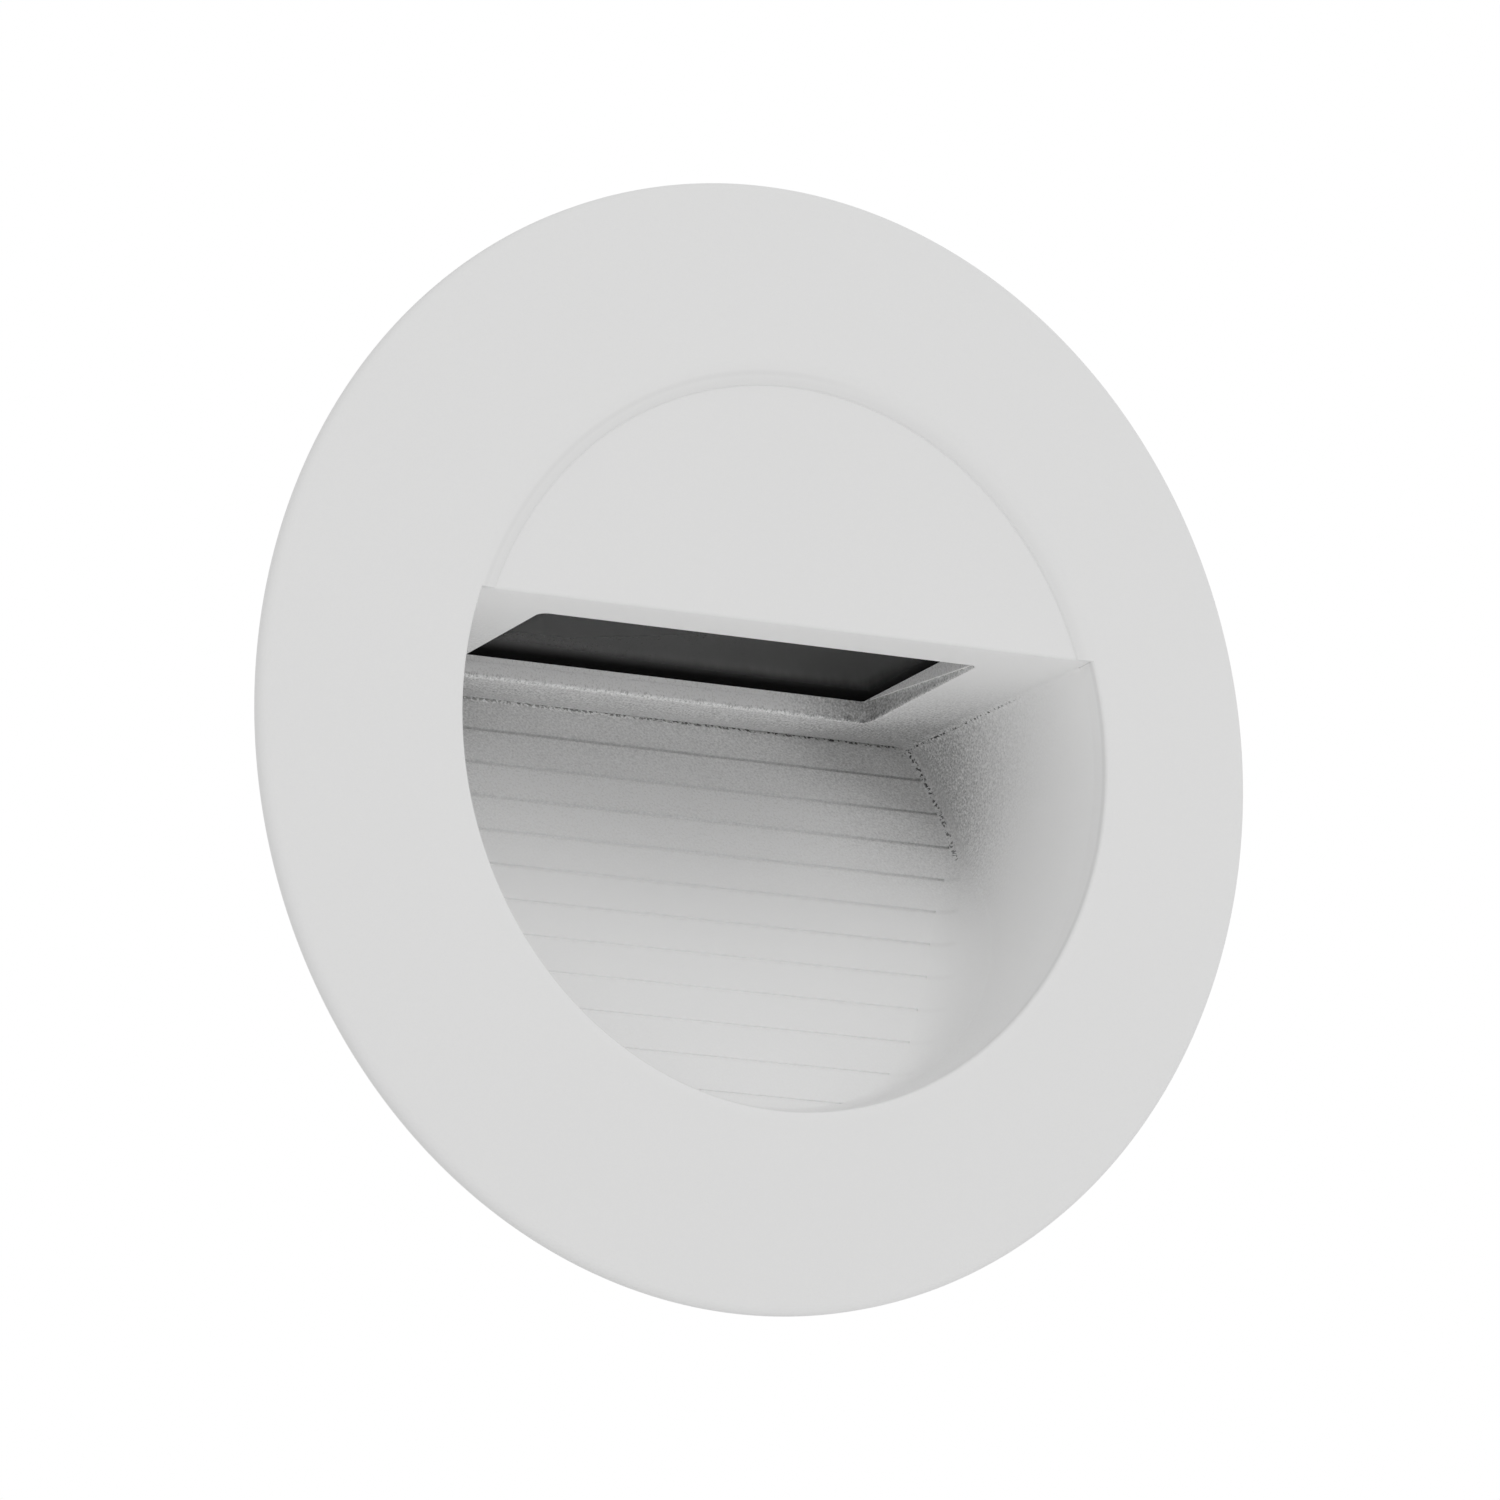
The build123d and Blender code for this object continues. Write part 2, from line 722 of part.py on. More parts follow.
with BuildPart() as terminal_block:
    with BuildSketch(at_depth(pod_inside)):
        with Locations((0, -block_drop)):
            Rectangle(block_length, block_height)
            with GridLocations(block_fix_spacing, 1, 2, 1):
                Circle(small_shank + hole_gap, mode=Mode.SUBTRACT)
    extrude(amount=block_depth)
    with BuildSketch(at_depth(block_front)):
        with Locations((0, -block_drop)):
            with GridLocations(pole_pitch, pole_rows, pole_count, 2):
                Circle(pole_well_radius)
    extrude(amount=-pole_well_depth, mode=Mode.SUBTRACT)
    with BuildSketch(Plane.XY.offset(-block_drop)):
        with Locations((0, pod_inside - block_depth / 2)):
            with GridLocations(pole_pitch, 1, pole_count, 1):
                Circle(pole_entry_radius)
    extrude(amount=block_height, both=True, mode=Mode.SUBTRACT)

with BuildPart() as terminal_screws:
    with BuildSketch(at_depth(block_front + pole_well_depth)):
        with Locations((0, -block_drop)):
            with GridLocations(pole_pitch, pole_rows, pole_count, 2):
                Circle(pole_well_radius - thread_gap)
    extrude(amount=pole_screw_height)
    with BuildSketch(at_depth(block_front + pole_well_depth - pole_screw_height)):
        with Locations((0, -block_drop)):
            with GridLocations(pole_pitch, pole_rows, pole_count, 2):
                Rectangle(2 * pole_well_radius, drive_width)
    extrude(amount=-drive_depth, mode=Mode.SUBTRACT)

with BuildPart(at_depth(block_front)) as terminal_fixings:
    with Locations((0, -block_drop)):
        with GridLocations(block_fix_spacing, 1, 2, 1):
            add(
                pan_screw(
                    small_shank,
                    block_depth + fix_hole - screw_tip_gap,
                    small_head,
                    small_head_height,
                )
            )

# Cable gland: body through the pod's floor, locknut inside, seal and cap outside
gland_spot = (0, gland_height)
gland_neck_end = pod_inside - gland_nut - gland_neck_spare
gland_shoulder = pod_back + gland_flange
gland_spigot_end = gland_shoulder + gland_spigot
gland_seal_end = gland_spigot_end + gland_seal_length
gland_cap_back = gland_seal_end + gland_cap_end

with BuildPart() as gland_body:
    with BuildSketch(at_depth(gland_neck_end)):
        with Locations(gland_spot):
            Circle(gland_neck_radius)
    extrude(amount=gland_neck_end - pod_back)
    with BuildSketch(at_depth(pod_back)):
        with Locations(gland_spot):
            RegularPolygon(gland_corner, hex_sides)
    extrude(amount=-gland_flange)
    with BuildSketch(at_depth(gland_shoulder)):
        with Locations(gland_spot):
            Circle(gland_spigot_radius)
    extrude(amount=-gland_spigot)
    with BuildSketch(at_depth(gland_neck_end)):
        with Locations(gland_spot):
            Circle(cable_bore)
    extrude(amount=gland_neck_end - gland_spigot_end, mode=Mode.SUBTRACT)

with BuildPart() as gland_locknut:
    with BuildSketch(at_depth(pod_inside)):
        with Locations(gland_spot):
            RegularPolygon(gland_corner, hex_sides)
            Circle(gland_neck_radius + thread_gap, mode=Mode.SUBTRACT)
    extrude(amount=gland_nut)

with BuildPart() as gland_seal:
    with BuildSketch(at_depth(gland_spigot_end)):
        with Locations(gland_spot):
            Circle(gland_spigot_radius)
            Circle(cable_bore, mode=Mode.SUBTRACT)
    extrude(amount=-gland_seal_length)

with BuildPart() as gland_cap:
    with BuildSketch(at_depth(gland_shoulder + fit_gap)):
        with Locations(gland_spot):
            RegularPolygon(gland_corner, hex_sides)
    extrude(amount=fit_gap - gland_spigot)
    with BuildSketch(at_depth(gland_shoulder + fit_gap)):
        with Locations(gland_spot):
            Circle(gland_spigot_radius + gland_cap_wall)
    extrude(amount=gland_shoulder + fit_gap - gland_cap_back)
    fillet(gland_cap.edges().sort_by(Axis.Y)[-1], gland_cap_round)
    with BuildSketch(at_depth(gland_shoulder + fit_gap)):
        with Locations(gland_spot):
            Circle(gland_spigot_radius + thread_gap)
    extrude(amount=gland_shoulder + fit_gap - gland_seal_end, mode=Mode.SUBTRACT)
    with BuildSketch(at_depth(gland_cap_back)):
        with Locations(gland_spot):
            Circle(cable_bore)
    extrude(amount=gland_cap_end, mode=Mode.SUBTRACT)

# Spring clip at the top of the housing: bracket and pin
bracket_centre = bracket_start + bracket_length / 2
ear_inside = bracket_width / 2 - clip_sheet
coil_end_lean = degrees(
    (coil_radius - arm_thickness / 2 - wire_radius - fit_gap) / spring_arm
)
coil_start_angle = -90.0
coil_end_angle = 90.0 - arm_lift + coil_end_lean + 360.0 * coil_turns
coil_length = coil_pitch * (coil_end_angle - coil_start_angle) / 360.0
wire_slope = coil_pitch / (2 * pi)
foot_run = spring_foot - foot_bend
foot_x = -coil_length / 2 - spring_foot * wire_slope / coil_radius

with BuildPart() as clip_bracket:
    with BuildSketch(Plane.XY.offset(pad_height)):
        with Locations((0, bracket_centre)):
            Rectangle(bracket_width, bracket_length)
        with Locations((0, bracket_screw_depth)):
            with GridLocations(bracket_screw_spacing, 1, 2, 1):
                Circle(small_shank + hole_gap, mode=Mode.SUBTRACT)
        with Locations((foot_x, clip_depth - spring_foot)):
            Circle(2 * wire_radius, mode=Mode.SUBTRACT)
    extrude(amount=clip_sheet)
    for ear_place in (ear_inside, -bracket_width / 2):
        with BuildSketch(Plane.YZ.offset(ear_place)):
            with Locations((clip_depth, (pad_height + clip_height) / 2)):
                Rectangle(2 * ear_radius, clip_height - pad_height)
            with Locations((clip_depth, clip_height)):
                Circle(ear_radius)
                Circle(pin_radius + press_gap, mode=Mode.SUBTRACT)
        extrude(amount=clip_sheet)

with BuildPart() as clip_pin:
    with BuildSketch(Plane.YZ.offset(-bracket_width / 2)):
        with Locations((clip_depth, clip_height)):
            Circle(pin_radius)
    extrude(amount=bracket_width)
    with BuildSketch(Plane.YZ.offset(bracket_width / 2)):
        with Locations((clip_depth, clip_height)):
            Circle(pin_head_radius)
    extrude(amount=pin_head)
    mirror(clip_pin.part, about=Plane.YZ)

# Clip arm: flat strip with two eyes on the pin, leaning forward until it is let into a wall
arm_plane = Plane(
    origin=(0, clip_depth, clip_height),
    x_dir=(1, 0, 0),
    z_dir=(0, sin(radians(arm_lift)), cos(radians(arm_lift))),
)
eye_end = ear_inside - 2 * fit_gap
eye_start = eye_end - arm_eye_length

with BuildPart() as clip_arm:
    with BuildSketch(arm_plane):
        with BuildLine():
            Polyline(
                (eye_end, 0),
                (eye_end, -arm_window),
                (arm_tip_width / 2, sleeve_length - arm_length),
                (arm_tip_width / 2, -arm_length),
                (-arm_tip_width / 2, -arm_length),
                (-arm_tip_width / 2, sleeve_length - arm_length),
                (-eye_end, -arm_window),
                (-eye_end, 0),
                (-eye_start, 0),
                (-eye_start, -arm_window),
                (eye_start, -arm_window),
                (eye_start, 0),
                close=True,
            )
        make_face()
    extrude(amount=arm_thickness / 2, both=True)
    for eye_place in (eye_start, -eye_end):
        with BuildSketch(Plane.YZ.offset(eye_place)):
            with Locations((clip_depth, clip_height)):
                Circle(arm_eye_radius)
        extrude(amount=arm_eye_length)
    with BuildSketch(Plane.YZ.offset(-eye_end)):
        with Locations((clip_depth, clip_height)):
            Circle(pin_radius + running_gap)
    extrude(amount=2 * eye_end, mode=Mode.SUBTRACT)

with BuildPart() as clip_sleeve:
    with BuildSketch(arm_plane):
        with Locations((0, (sleeve_length - sleeve_wall) / 2 - arm_length)):
            RectangleRounded(
                arm_tip_width + 2 * (sleeve_wall + press_gap),
                sleeve_length + sleeve_wall,
                sleeve_wall,
            )
    extrude(amount=arm_thickness / 2 + sleeve_wall, both=True)
    with BuildSketch(arm_plane):
        with Locations((0, sleeve_length / 2 - arm_length)):
            Rectangle(arm_tip_width + 2 * press_gap, sleeve_length)
    extrude(amount=arm_thickness / 2 + press_gap, both=True, mode=Mode.SUBTRACT)


def coil_point(angle):
    """Centre of the spring's wire at an angle about the pin, in degrees."""
    turn = radians(angle)
    return Vector(
        wire_slope * radians(angle - coil_start_angle) - coil_length / 2,
        clip_depth + coil_radius * cos(turn),
        clip_height + coil_radius * sin(turn),
    )


def coil_tangent(angle):
    """Direction of the spring's wire at an angle about the pin."""
    turn = radians(angle)
    return Vector(wire_slope, -coil_radius * sin(turn), coil_radius * cos(turn)).normalized()


def biarc(start, start_tangent, end, end_tangent):
    """Joint of two arcs that leave and arrive along the given tangents, and its tangent."""
    span = end - start
    tangents = start_tangent + end_tangent
    bend = 2 * (1 - start_tangent.dot(end_tangent))
    along = span.dot(tangents)
    reach = (sqrt(along**2 + bend * span.dot(span)) - along) / bend
    joint = (start + end + (start_tangent - end_tangent) * reach) / 2
    return joint, (span - tangents * reach).normalized()


# Clip spring: a hooked foot in the bracket, a coil round the pin and a leg on the arm's outer face
coil_quarters = 4 * coil_turns + 2
coil_step = (coil_end_angle - coil_start_angle) / coil_quarters
foot_direction = coil_tangent(coil_start_angle)
foot_heel = coil_point(coil_start_angle) - foot_direction * (foot_run / foot_direction.Y)
foot_top = foot_heel - foot_direction * foot_bend - Vector(0, 0, foot_bend)
foot_tip = foot_top - Vector(0, 0, 2 * wire_radius)

with BuildPart() as clip_spring:
    with BuildLine() as wire_path:
        Line(foot_tip, foot_top)
        TangentArc(foot_top, foot_heel, tangent=(0, 0, 1))
        Line(foot_heel, coil_point(coil_start_angle))
        for quarter in range(coil_quarters):
            here = coil_start_angle + quarter * coil_step
            there = here + coil_step
            joint, joint_tangent = biarc(
                coil_point(here), coil_tangent(here), coil_point(there), coil_tangent(there)
            )
            TangentArc(coil_point(here), joint, tangent=coil_tangent(here))
            TangentArc(joint, coil_point(there), tangent=joint_tangent)
        coil_exit = coil_point(coil_end_angle)
        Line(coil_exit, coil_exit + coil_tangent(coil_end_angle) * spring_arm)
    with BuildSketch(Plane(origin=foot_tip, z_dir=(0, 0, 1))):
        Circle(wire_radius)
    sweep(path=wire_path.wire())

# Least gap of the spring's wire to itself, between points at least a quarter turn apart
wire_steps = 600
wire_length = wire_path.wire().length
wire_points = [wire_path.wire().position_at(step / wire_steps) for step in range(wire_steps + 1)]
apart = int(wire_steps * coil_radius * pi / 2 / wire_length)
wire_gap = min(
    (wire_points[i] - wire_points[j]).length
    for i in range(len(wire_points))
    for j in range(i + apart, len(wire_points))
)
print(f"spring wire: least gap to itself {wire_gap - 2 * wire_radius:.2f} mm")

with BuildPart(Plane.XY.offset(bracket_top)) as upper_bracket_screws:
    with Locations((0, bracket_screw_depth)):
        with GridLocations(bracket_screw_spacing, 1, 2, 1):
            add(
                pan_screw(
                    small_shank,
                    clip_sheet + pad_hole - screw_tip_gap,
                    small_head,
                    small_head_height,
                )
            )

with BuildPart() as bracket_screws:
    add(upper_bracket_screws.part)
    add(upper_bracket_screws.part, rotation=(0, 180, 0))

# Write each piece as its own file. The lower clip is the upper one turned half round the axis.
pieces = {
    "bezel_ring": bezel_ring,
    "hood": hood,
    "recess_tub": recess_tub,
    "lens_gasket": lens_gasket,
    "lens": lens,
    "lens_frame": lens_frame,
    "led_board": led_board,
    "led_chips": led_chips,
    "heat_spreader": heat_spreader,
    "module_screws": module_screws,
    "housing": housing,
    "housing_seal": housing_seal,
    "housing_screws": housing_screws,
    "flange_seal": flange_seal,
    "cover_gasket": cover_gasket,
    "rear_cover": rear_cover,
    "cover_screws": cover_screws,
    "driver_case": driver_case,
    "driver_lid": driver_lid,
    "driver_screws": driver_screws,
    "terminal_block": terminal_block,
    "terminal_screws": terminal_screws,
    "terminal_fixings": terminal_fixings,
    "gland_body": gland_body,
    "gland_locknut": gland_locknut,
    "gland_seal": gland_seal,
    "gland_cap": gland_cap,
    "bracket_screws": bracket_screws,
}
clip_pieces = {
    "bracket": clip_bracket,
    "pin": clip_pin,
    "arm": clip_arm,
    "sleeve": clip_sleeve,
    "spring": clip_spring,
}

os.makedirs("parts", exist_ok=True)
for name, piece in pieces.items():
    piece.part.label = name
    export_step(piece.part, f"parts/{name}.step")
for side, turn in (("top", 0), ("bottom", 180)):
    for name, piece in clip_pieces.items():
        with BuildPart() as placed:
            add(piece.part, rotation=(0, turn, 0))
        placed.part.label = f"clip_{side}_{name}"
        export_step(placed.part, f"parts/clip_{side}_{name}.step")
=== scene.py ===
import bmesh
import bpy
import json
import math
from mathutils import Matrix, Vector
from types import SimpleNamespace


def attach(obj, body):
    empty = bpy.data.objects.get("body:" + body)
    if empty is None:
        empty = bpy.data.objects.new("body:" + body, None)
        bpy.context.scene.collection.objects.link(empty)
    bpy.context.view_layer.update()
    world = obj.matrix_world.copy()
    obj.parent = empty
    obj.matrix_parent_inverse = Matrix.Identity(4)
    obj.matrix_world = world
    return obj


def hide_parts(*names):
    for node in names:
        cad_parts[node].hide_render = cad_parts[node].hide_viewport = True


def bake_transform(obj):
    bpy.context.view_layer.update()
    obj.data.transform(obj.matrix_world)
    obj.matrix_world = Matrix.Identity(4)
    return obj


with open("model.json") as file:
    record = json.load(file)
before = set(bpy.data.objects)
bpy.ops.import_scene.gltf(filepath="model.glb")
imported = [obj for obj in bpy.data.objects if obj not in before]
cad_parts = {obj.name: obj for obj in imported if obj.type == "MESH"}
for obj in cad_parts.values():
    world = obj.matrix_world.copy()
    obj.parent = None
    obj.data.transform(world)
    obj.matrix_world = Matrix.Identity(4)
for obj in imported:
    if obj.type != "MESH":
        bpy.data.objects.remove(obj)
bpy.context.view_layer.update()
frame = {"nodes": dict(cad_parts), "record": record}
nodes = frame["nodes"]
slots = {entry["node"]: entry["material_slot"] for entry in frame["record"]["subparts"]}
scene = bpy.context.scene
mm = 0.001


# camera, at the photograph's angle
view = {
    "place": (-577.26, -983.51, -189.27),  # mm
    "azimuth": -30.37,
    "elevation": -9.41,
    "roll": 1.20,
    "lens": 263.95,
    "sensor": 36,
    "nearest": 0.01,  # metres
}


def placeCamera():
    turn, rise, roll = (math.radians(view[key]) for key in ("azimuth", "elevation", "roll"))
    back = Vector((math.sin(turn) * math.cos(rise), -math.cos(turn) * math.cos(rise), math.sin(rise)))
    right = Vector((math.cos(turn), math.sin(turn), 0))
    up = back.cross(right)
    rolledRight = right * math.cos(roll) + up * math.sin(roll)
    rolledUp = up * math.cos(roll) - right * math.sin(roll)
    aim = Matrix((rolledRight, rolledUp, back)).transposed().to_4x4()
    data = bpy.data.cameras.new("photoCamera")
    data.lens = view["lens"]
    data.sensor_width = view["sensor"]
    data.clip_start = view["nearest"]
    camera = bpy.data.objects.new("photoCamera", data)
    scene.collection.objects.link(camera)
    camera.matrix_world = Matrix.Translation(Vector(view["place"]) * mm) @ aim
    scene.camera = camera


placeCamera()
print("camera placed")


# one wrapped socket: sums become Math nodes, anything else comes from node()
class Sock:
    def __init__(self, tree, link):
        self.tree = tree
        self.link = link

    def node(self, kind, settings=None, inputs=None, out=0):
        made = self.tree.nodes.new(kind)
        for key, value in (settings or {}).items():
            setattr(made, key, value)
        for key, value in (inputs or {}).items():
            if isinstance(value, Sock):
                self.tree.links.new(value.link, made.inputs[key])
            else:
                made.inputs[key].default_value = value
        return Sock(self.tree, made.outputs[out])

    def maths(self, operation, *others):
        values = dict(enumerate((self,) + others))
        return self.node("ShaderNodeMath", {"operation": operation}, values)

    def flipped(self, operation, other):
        return self.node("ShaderNodeMath", {"operation": operation}, {0: other, 1: self})

    def __add__(self, other):
        return self.maths("ADD", other)

    def __radd__(self, other):
        return self.maths("ADD", other)

    def __sub__(self, other):
        return self.maths("SUBTRACT", other)

    def __rsub__(self, other):
        return self.flipped("SUBTRACT", other)

    def __mul__(self, other):
        return self.maths("MULTIPLY", other)

    def __rmul__(self, other):
        return self.maths("MULTIPLY", other)

    def __abs__(self):
        return self.maths("ABSOLUTE")

    def fade(self, low, high):
        # 0 at low and under, 1 at high and over; low may be the greater one
        inputs = {"Value": self, "From Min": low, "From Max": high}
        return self.node("ShaderNodeMapRange", {"interpolation_type": "SMOOTHSTEP"}, inputs)

    def swing(self, spread):
        # how far a noise is from its middle, times the spread
        return (self - 0.5) * spread

    def parts(self):
        split = self.node("ShaderNodeSeparateXYZ", None, {0: self}).link.node
        return [Sock(self.tree, split.outputs[axis]) for axis in "XYZ"]

    def noise(self, size, detail, rough, stretch=None):
        # size is the width of a blotch, in metres
        where = self
        if stretch:
            where = self.node("ShaderNodeMapping", None, {"Vector": self, "Scale": stretch})
        return self.node(
            "ShaderNodeTexNoise", None,
            {"Vector": where, "Scale": 1 / size, "Detail": detail, "Roughness": rough},
        )

    def cells(self, size):
        return self.node("ShaderNodeTexVoronoi", None, {"Vector": self, "Scale": 1 / size})

    def blend(self, first, second):
        # colour between first and second by this value; colour sockets of a Mix node go by number
        return self.node("ShaderNodeMix", {"data_type": "RGBA"}, {0: self, 6: first, 7: second}, 2)

    def bump(self, height, strength):
        return self.node("ShaderNodeBump", None, {"Height": self, "Distance": height, "Strength": strength})


def grey(value):
    return (value, value, value, 1)


def startFinish(name, **sockets):
    # a new material, its object coordinates and a function that links into its shader
    finish = bpy.data.materials.new(name)
    finish.use_nodes = True
    tree = finish.node_tree
    shader = tree.nodes["Principled BSDF"]
    for key, value in sockets.items():
        shader.inputs[key.replace("_", " ")].default_value = value
    where = Sock(tree, tree.nodes.new("ShaderNodeTexCoord").outputs["Object"])

    def feed(**values):
        for key, value in values.items():
            tree.links.new(value.link, shader.inputs[key.replace("_", " ")])

    return finish, where, feed


# shared sizes of the recess, in mm
recess = {
    "mouth": 39.1,
    "taper": 0.08,
    "seat": 4.2,
    "hoodEdge": 12.2,
    "hoodFace": 6.2,
    "hoodSlope": 7.94,
    "shelf": 1.9,
    "ribDepth": 23.74,
    "ribSlope": 34.64,
    "ribPlate": 1.6,
    "groovePitch": 4.945,
    "grooveTop": 4.28,
}
hoodTurn = math.radians(recess["hoodSlope"])
ribTurn = math.radians(recess["ribSlope"])
underPoint = Vector((0, -recess["hoodFace"], recess["hoodEdge"]))
underNormal = Vector((0, math.sin(hoodTurn), math.cos(hoodTurn)))
shelfBack = Vector((0, math.cos(hoodTurn), -math.sin(hoodTurn)))
ribPoint = Vector((0, recess["ribDepth"], 0))
ribNormal = Vector((0, -math.cos(ribTurn), math.sin(ribTurn)))
ribUp = Vector((0, math.sin(ribTurn), math.cos(ribTurn)))


def recessRadius(depth):
    return recess["mouth"] - recess["taper"] * (depth + recess["seat"])


def planeGap(where, point, normal):
    # how far in front of a plane, in metres; its point is in mm
    _, y, z = where.parts()
    return y * normal.y + z * normal.z - point.dot(normal) * mm


# white powder coat, down to makeWhiteCoat; lengths in metres
# a pair says where a shade is none and where it is full; a noise is its width, detail and roughness
# inside the recess the coat is sandy towards the upper corners
recessCoat = {
    "front": (-0.00615, -0.0057),
    "reach": (0.0396, 0.0392),
    "underHood": (0.0008, 0.0002),
    "deep": (0.004, 0.027),
    "high": (-0.018, -0.002),
    "sand": (0.00026, 2, 0.7),
    "sandyRise": (-0.017, -0.003),
    "sandyTone": 0.6,
    "shadeSand": 2,
    "offBack": (0.001, 0.003),
}


def coatPlaces(where):
    # distances from the recess's faces, and the zones that the shades share
    at = SimpleNamespace()
    at.x, at.y, at.z = where.parts()
    at.radius = (at.x * at.x + at.z * at.z).maths("SQRT")
    at.above = planeGap(where, underPoint, underNormal)
    at.climb = planeGap(where, ribPoint + ribUp * recess["grooveTop"], ribUp)
    at.toBack = abs(planeGap(where, ribPoint, ribNormal))
    at.toHood = abs(at.above)
    at.toWall = abs(at.radius + at.y * recess["taper"] - recessRadius(0) * mm)
    at.hoodSeam = at.toBack + at.toHood
    at.wallSeam = at.toBack + at.toWall
    at.roofSeam = at.toHood + at.toWall
    at.inside = at.y.fade(*recessCoat["front"]) * at.radius.fade(*recessCoat["reach"])
    at.open = at.inside * at.above.fade(*recessCoat["underHood"])
    at.deep = at.y.fade(*recessCoat["deep"]) * at.open
    at.high = at.z.fade(*recessCoat["high"]) * at.deep
    return at


grooveShadeSettings = {
    "plane": (0.0008, 0.0004),
    "top": (0.004, 0.003),
    "line": (0.00055, 0.00005),
    "lineTone": 0.02,
    "lineRise": (-0.028, 0.0),
    "lineMore": 0.075,
    "step": (0.003, 0.0),
    "stepRise": (-0.02, 0.0),
    "stepTone": 0.035,
}


def grooveShade(at):
    # painted shade along the grooves and just above them, less towards the lower ones
    pitch = recess["groovePitch"] * mm
    zone = at.toBack.fade(*grooveShadeSettings["plane"]) * at.climb.fade(*grooveShadeSettings["top"]) * at.inside
    line = at.climb.maths("PINGPONG", pitch / 2).fade(*grooveShadeSettings["line"])
    step = at.climb.maths("FLOORED_MODULO", pitch).fade(*grooveShadeSettings["step"])
    lineTone = grooveShadeSettings["lineTone"] + at.z.fade(*grooveShadeSettings["lineRise"]) * grooveShadeSettings["lineMore"]
    stepTone = at.z.fade(*grooveShadeSettings["stepRise"]) * grooveShadeSettings["stepTone"]
    return (line * lineTone + step * stepTone) * zone


seamCoat = {
    "hoodLine": (0.00035, 0.0001),
    "hoodAcross": (-0.05, 0.03),
    "wallLine": (0.0006, 0.00054),
    "wallRise": (-0.01, -0.006),
    "roofLine": (0.0002, 0.0001),
    "roofReach": (0.003, 0.002),
    "roofDepth": (0.005, 0.014),
    "dot": (0.00035, 1, 0.5),
    "dark": (0.52, 0.56),
    "darkTone": 0.9,
    "pale": (0.49, 0.45),
    "paleLine": (0.0006, 0.0002),
    "paleAcross": (0.02, -0.01),
    "paleTone": 0.4,
}


def seamDots(where, at):
    # dark specks along the inner seams and pale ones on the left half of the hood's seam, as a factor
    hoodLine = at.hoodSeam.fade(*seamCoat["hoodLine"]) * at.x.fade(*seamCoat["hoodAcross"])
    wallLine = at.wallSeam.fade(*seamCoat["wallLine"]) * at.z.fade(*seamCoat["wallRise"])
    roofLine = abs(at.toHood - at.toWall).fade(*seamCoat["roofLine"]) * at.inside
    roofLine = roofLine * at.roofSeam.fade(*seamCoat["roofReach"]) * at.y.fade(*seamCoat["roofDepth"])
    dots = where.noise(*seamCoat["dot"])
    dark = dots.fade(*seamCoat["dark"]) * ((hoodLine + wallLine) * at.high + roofLine)
    pale = dots.fade(*seamCoat["pale"]) * at.hoodSeam.fade(*seamCoat["paleLine"])
    pale = pale * at.x.fade(*seamCoat["paleAcross"]) * at.deep
    return (1 + pale * seamCoat["paleTone"]) * (1 - dark * seamCoat["darkTone"])


cornerShadeSettings = {
    "hood": (0.011, 0),
    "hoodTone": 0.24,
    "wall": (0.02, 0),
    "wallTone": 0.29,
    "corner": (0.034, 0.002),
    "cornerTone": 0.05,
    "roof": (0.018, 0),
    "roofDepth": (-0.004, 0.02),
    "roofTone": 0.18,
    "floor": (-0.018, -0.034),
    "floorTone": 0.04,
    "most": 0.4,
    "mostSoft": 0.16,
}


def cornerShade(at):
    # painted shade in the recess's inner corners and towards its bottom, never darker than a set share
    hood = at.hoodSeam.fade(*cornerShadeSettings["hood"]) * at.deep * cornerShadeSettings["hoodTone"]
    wall = at.wallSeam.fade(*cornerShadeSettings["wall"]) * at.high * cornerShadeSettings["wallTone"]
    corner = (at.hoodSeam + at.toWall).fade(*cornerShadeSettings["corner"]) * at.high * cornerShadeSettings["cornerTone"]
    roof = at.roofSeam.fade(*cornerShadeSettings["roof"]) * at.y.fade(*cornerShadeSettings["roofDepth"]) * at.open
    floor = at.z.fade(*cornerShadeSettings["floor"]) * at.inside * cornerShadeSettings["floorTone"]
    total = hood + wall + corner + roof * cornerShadeSettings["roofTone"] + floor
    return total.maths("SMOOTH_MIN", cornerShadeSettings["most"], cornerShadeSettings["mostSoft"])


windowShadeSettings = {
    "bottom": (0.00004, 0.00016),
    "top": (0.006, 0.004),
    "sandTone": 0.35,
    "end": (0.013, 0.0268),
    "endTone": 0.31,
    "rearEnd": (0.018, 0.0272),
    "rearDepth": (0.012, 0.021),
    "rearTone": 0.17,
    "ledgeInner": (0.02622, 0.02632),
    "ledgeOuter": (0.02658, 0.02652),
    "ledgeDepth": (0.0213, 0.0209),
}


def windowShade(at):
    # where the window's walls are, and their painted shade towards the right end and the rear, with the
    # ledge left pale
    wall = at.above.fade(*windowShadeSettings["bottom"]) * at.above.fade(*windowShadeSettings["top"]) * at.inside
    end = at.x.fade(*windowShadeSettings["end"]) * windowShadeSettings["endTone"]
    rear = at.x.fade(*windowShadeSettings["rearEnd"]) * at.y.fade(*windowShadeSettings["rearDepth"]) * windowShadeSettings["rearTone"]
    ledge = at.x.fade(*windowShadeSettings["ledgeInner"]) * at.x.fade(*windowShadeSettings["ledgeOuter"])
    ledge = ledge * at.y.fade(*windowShadeSettings["ledgeDepth"])
    return wall, wall * (end + rear) * (1 - ledge)


bandShadeSettings = {
    "outer": (0.0392, 0.0377),
    "inner": (0.0374, 0.0375),
    "front": (-0.0061, -0.0063),
    "rise": (0.0085, 0.0105),
    "tone": 0.05,
    "lineInner": (0.0384, 0.0388),
    "lineOuter": (0.0393, 0.0389),
    "lineAcross": (0.014, -0.004),
    "lineTone": 0.045,
    "rim": (0.057, 0.0575),
    "rimDepth": (-0.0022, -0.0004),
    "rimTone": 0.13,
}


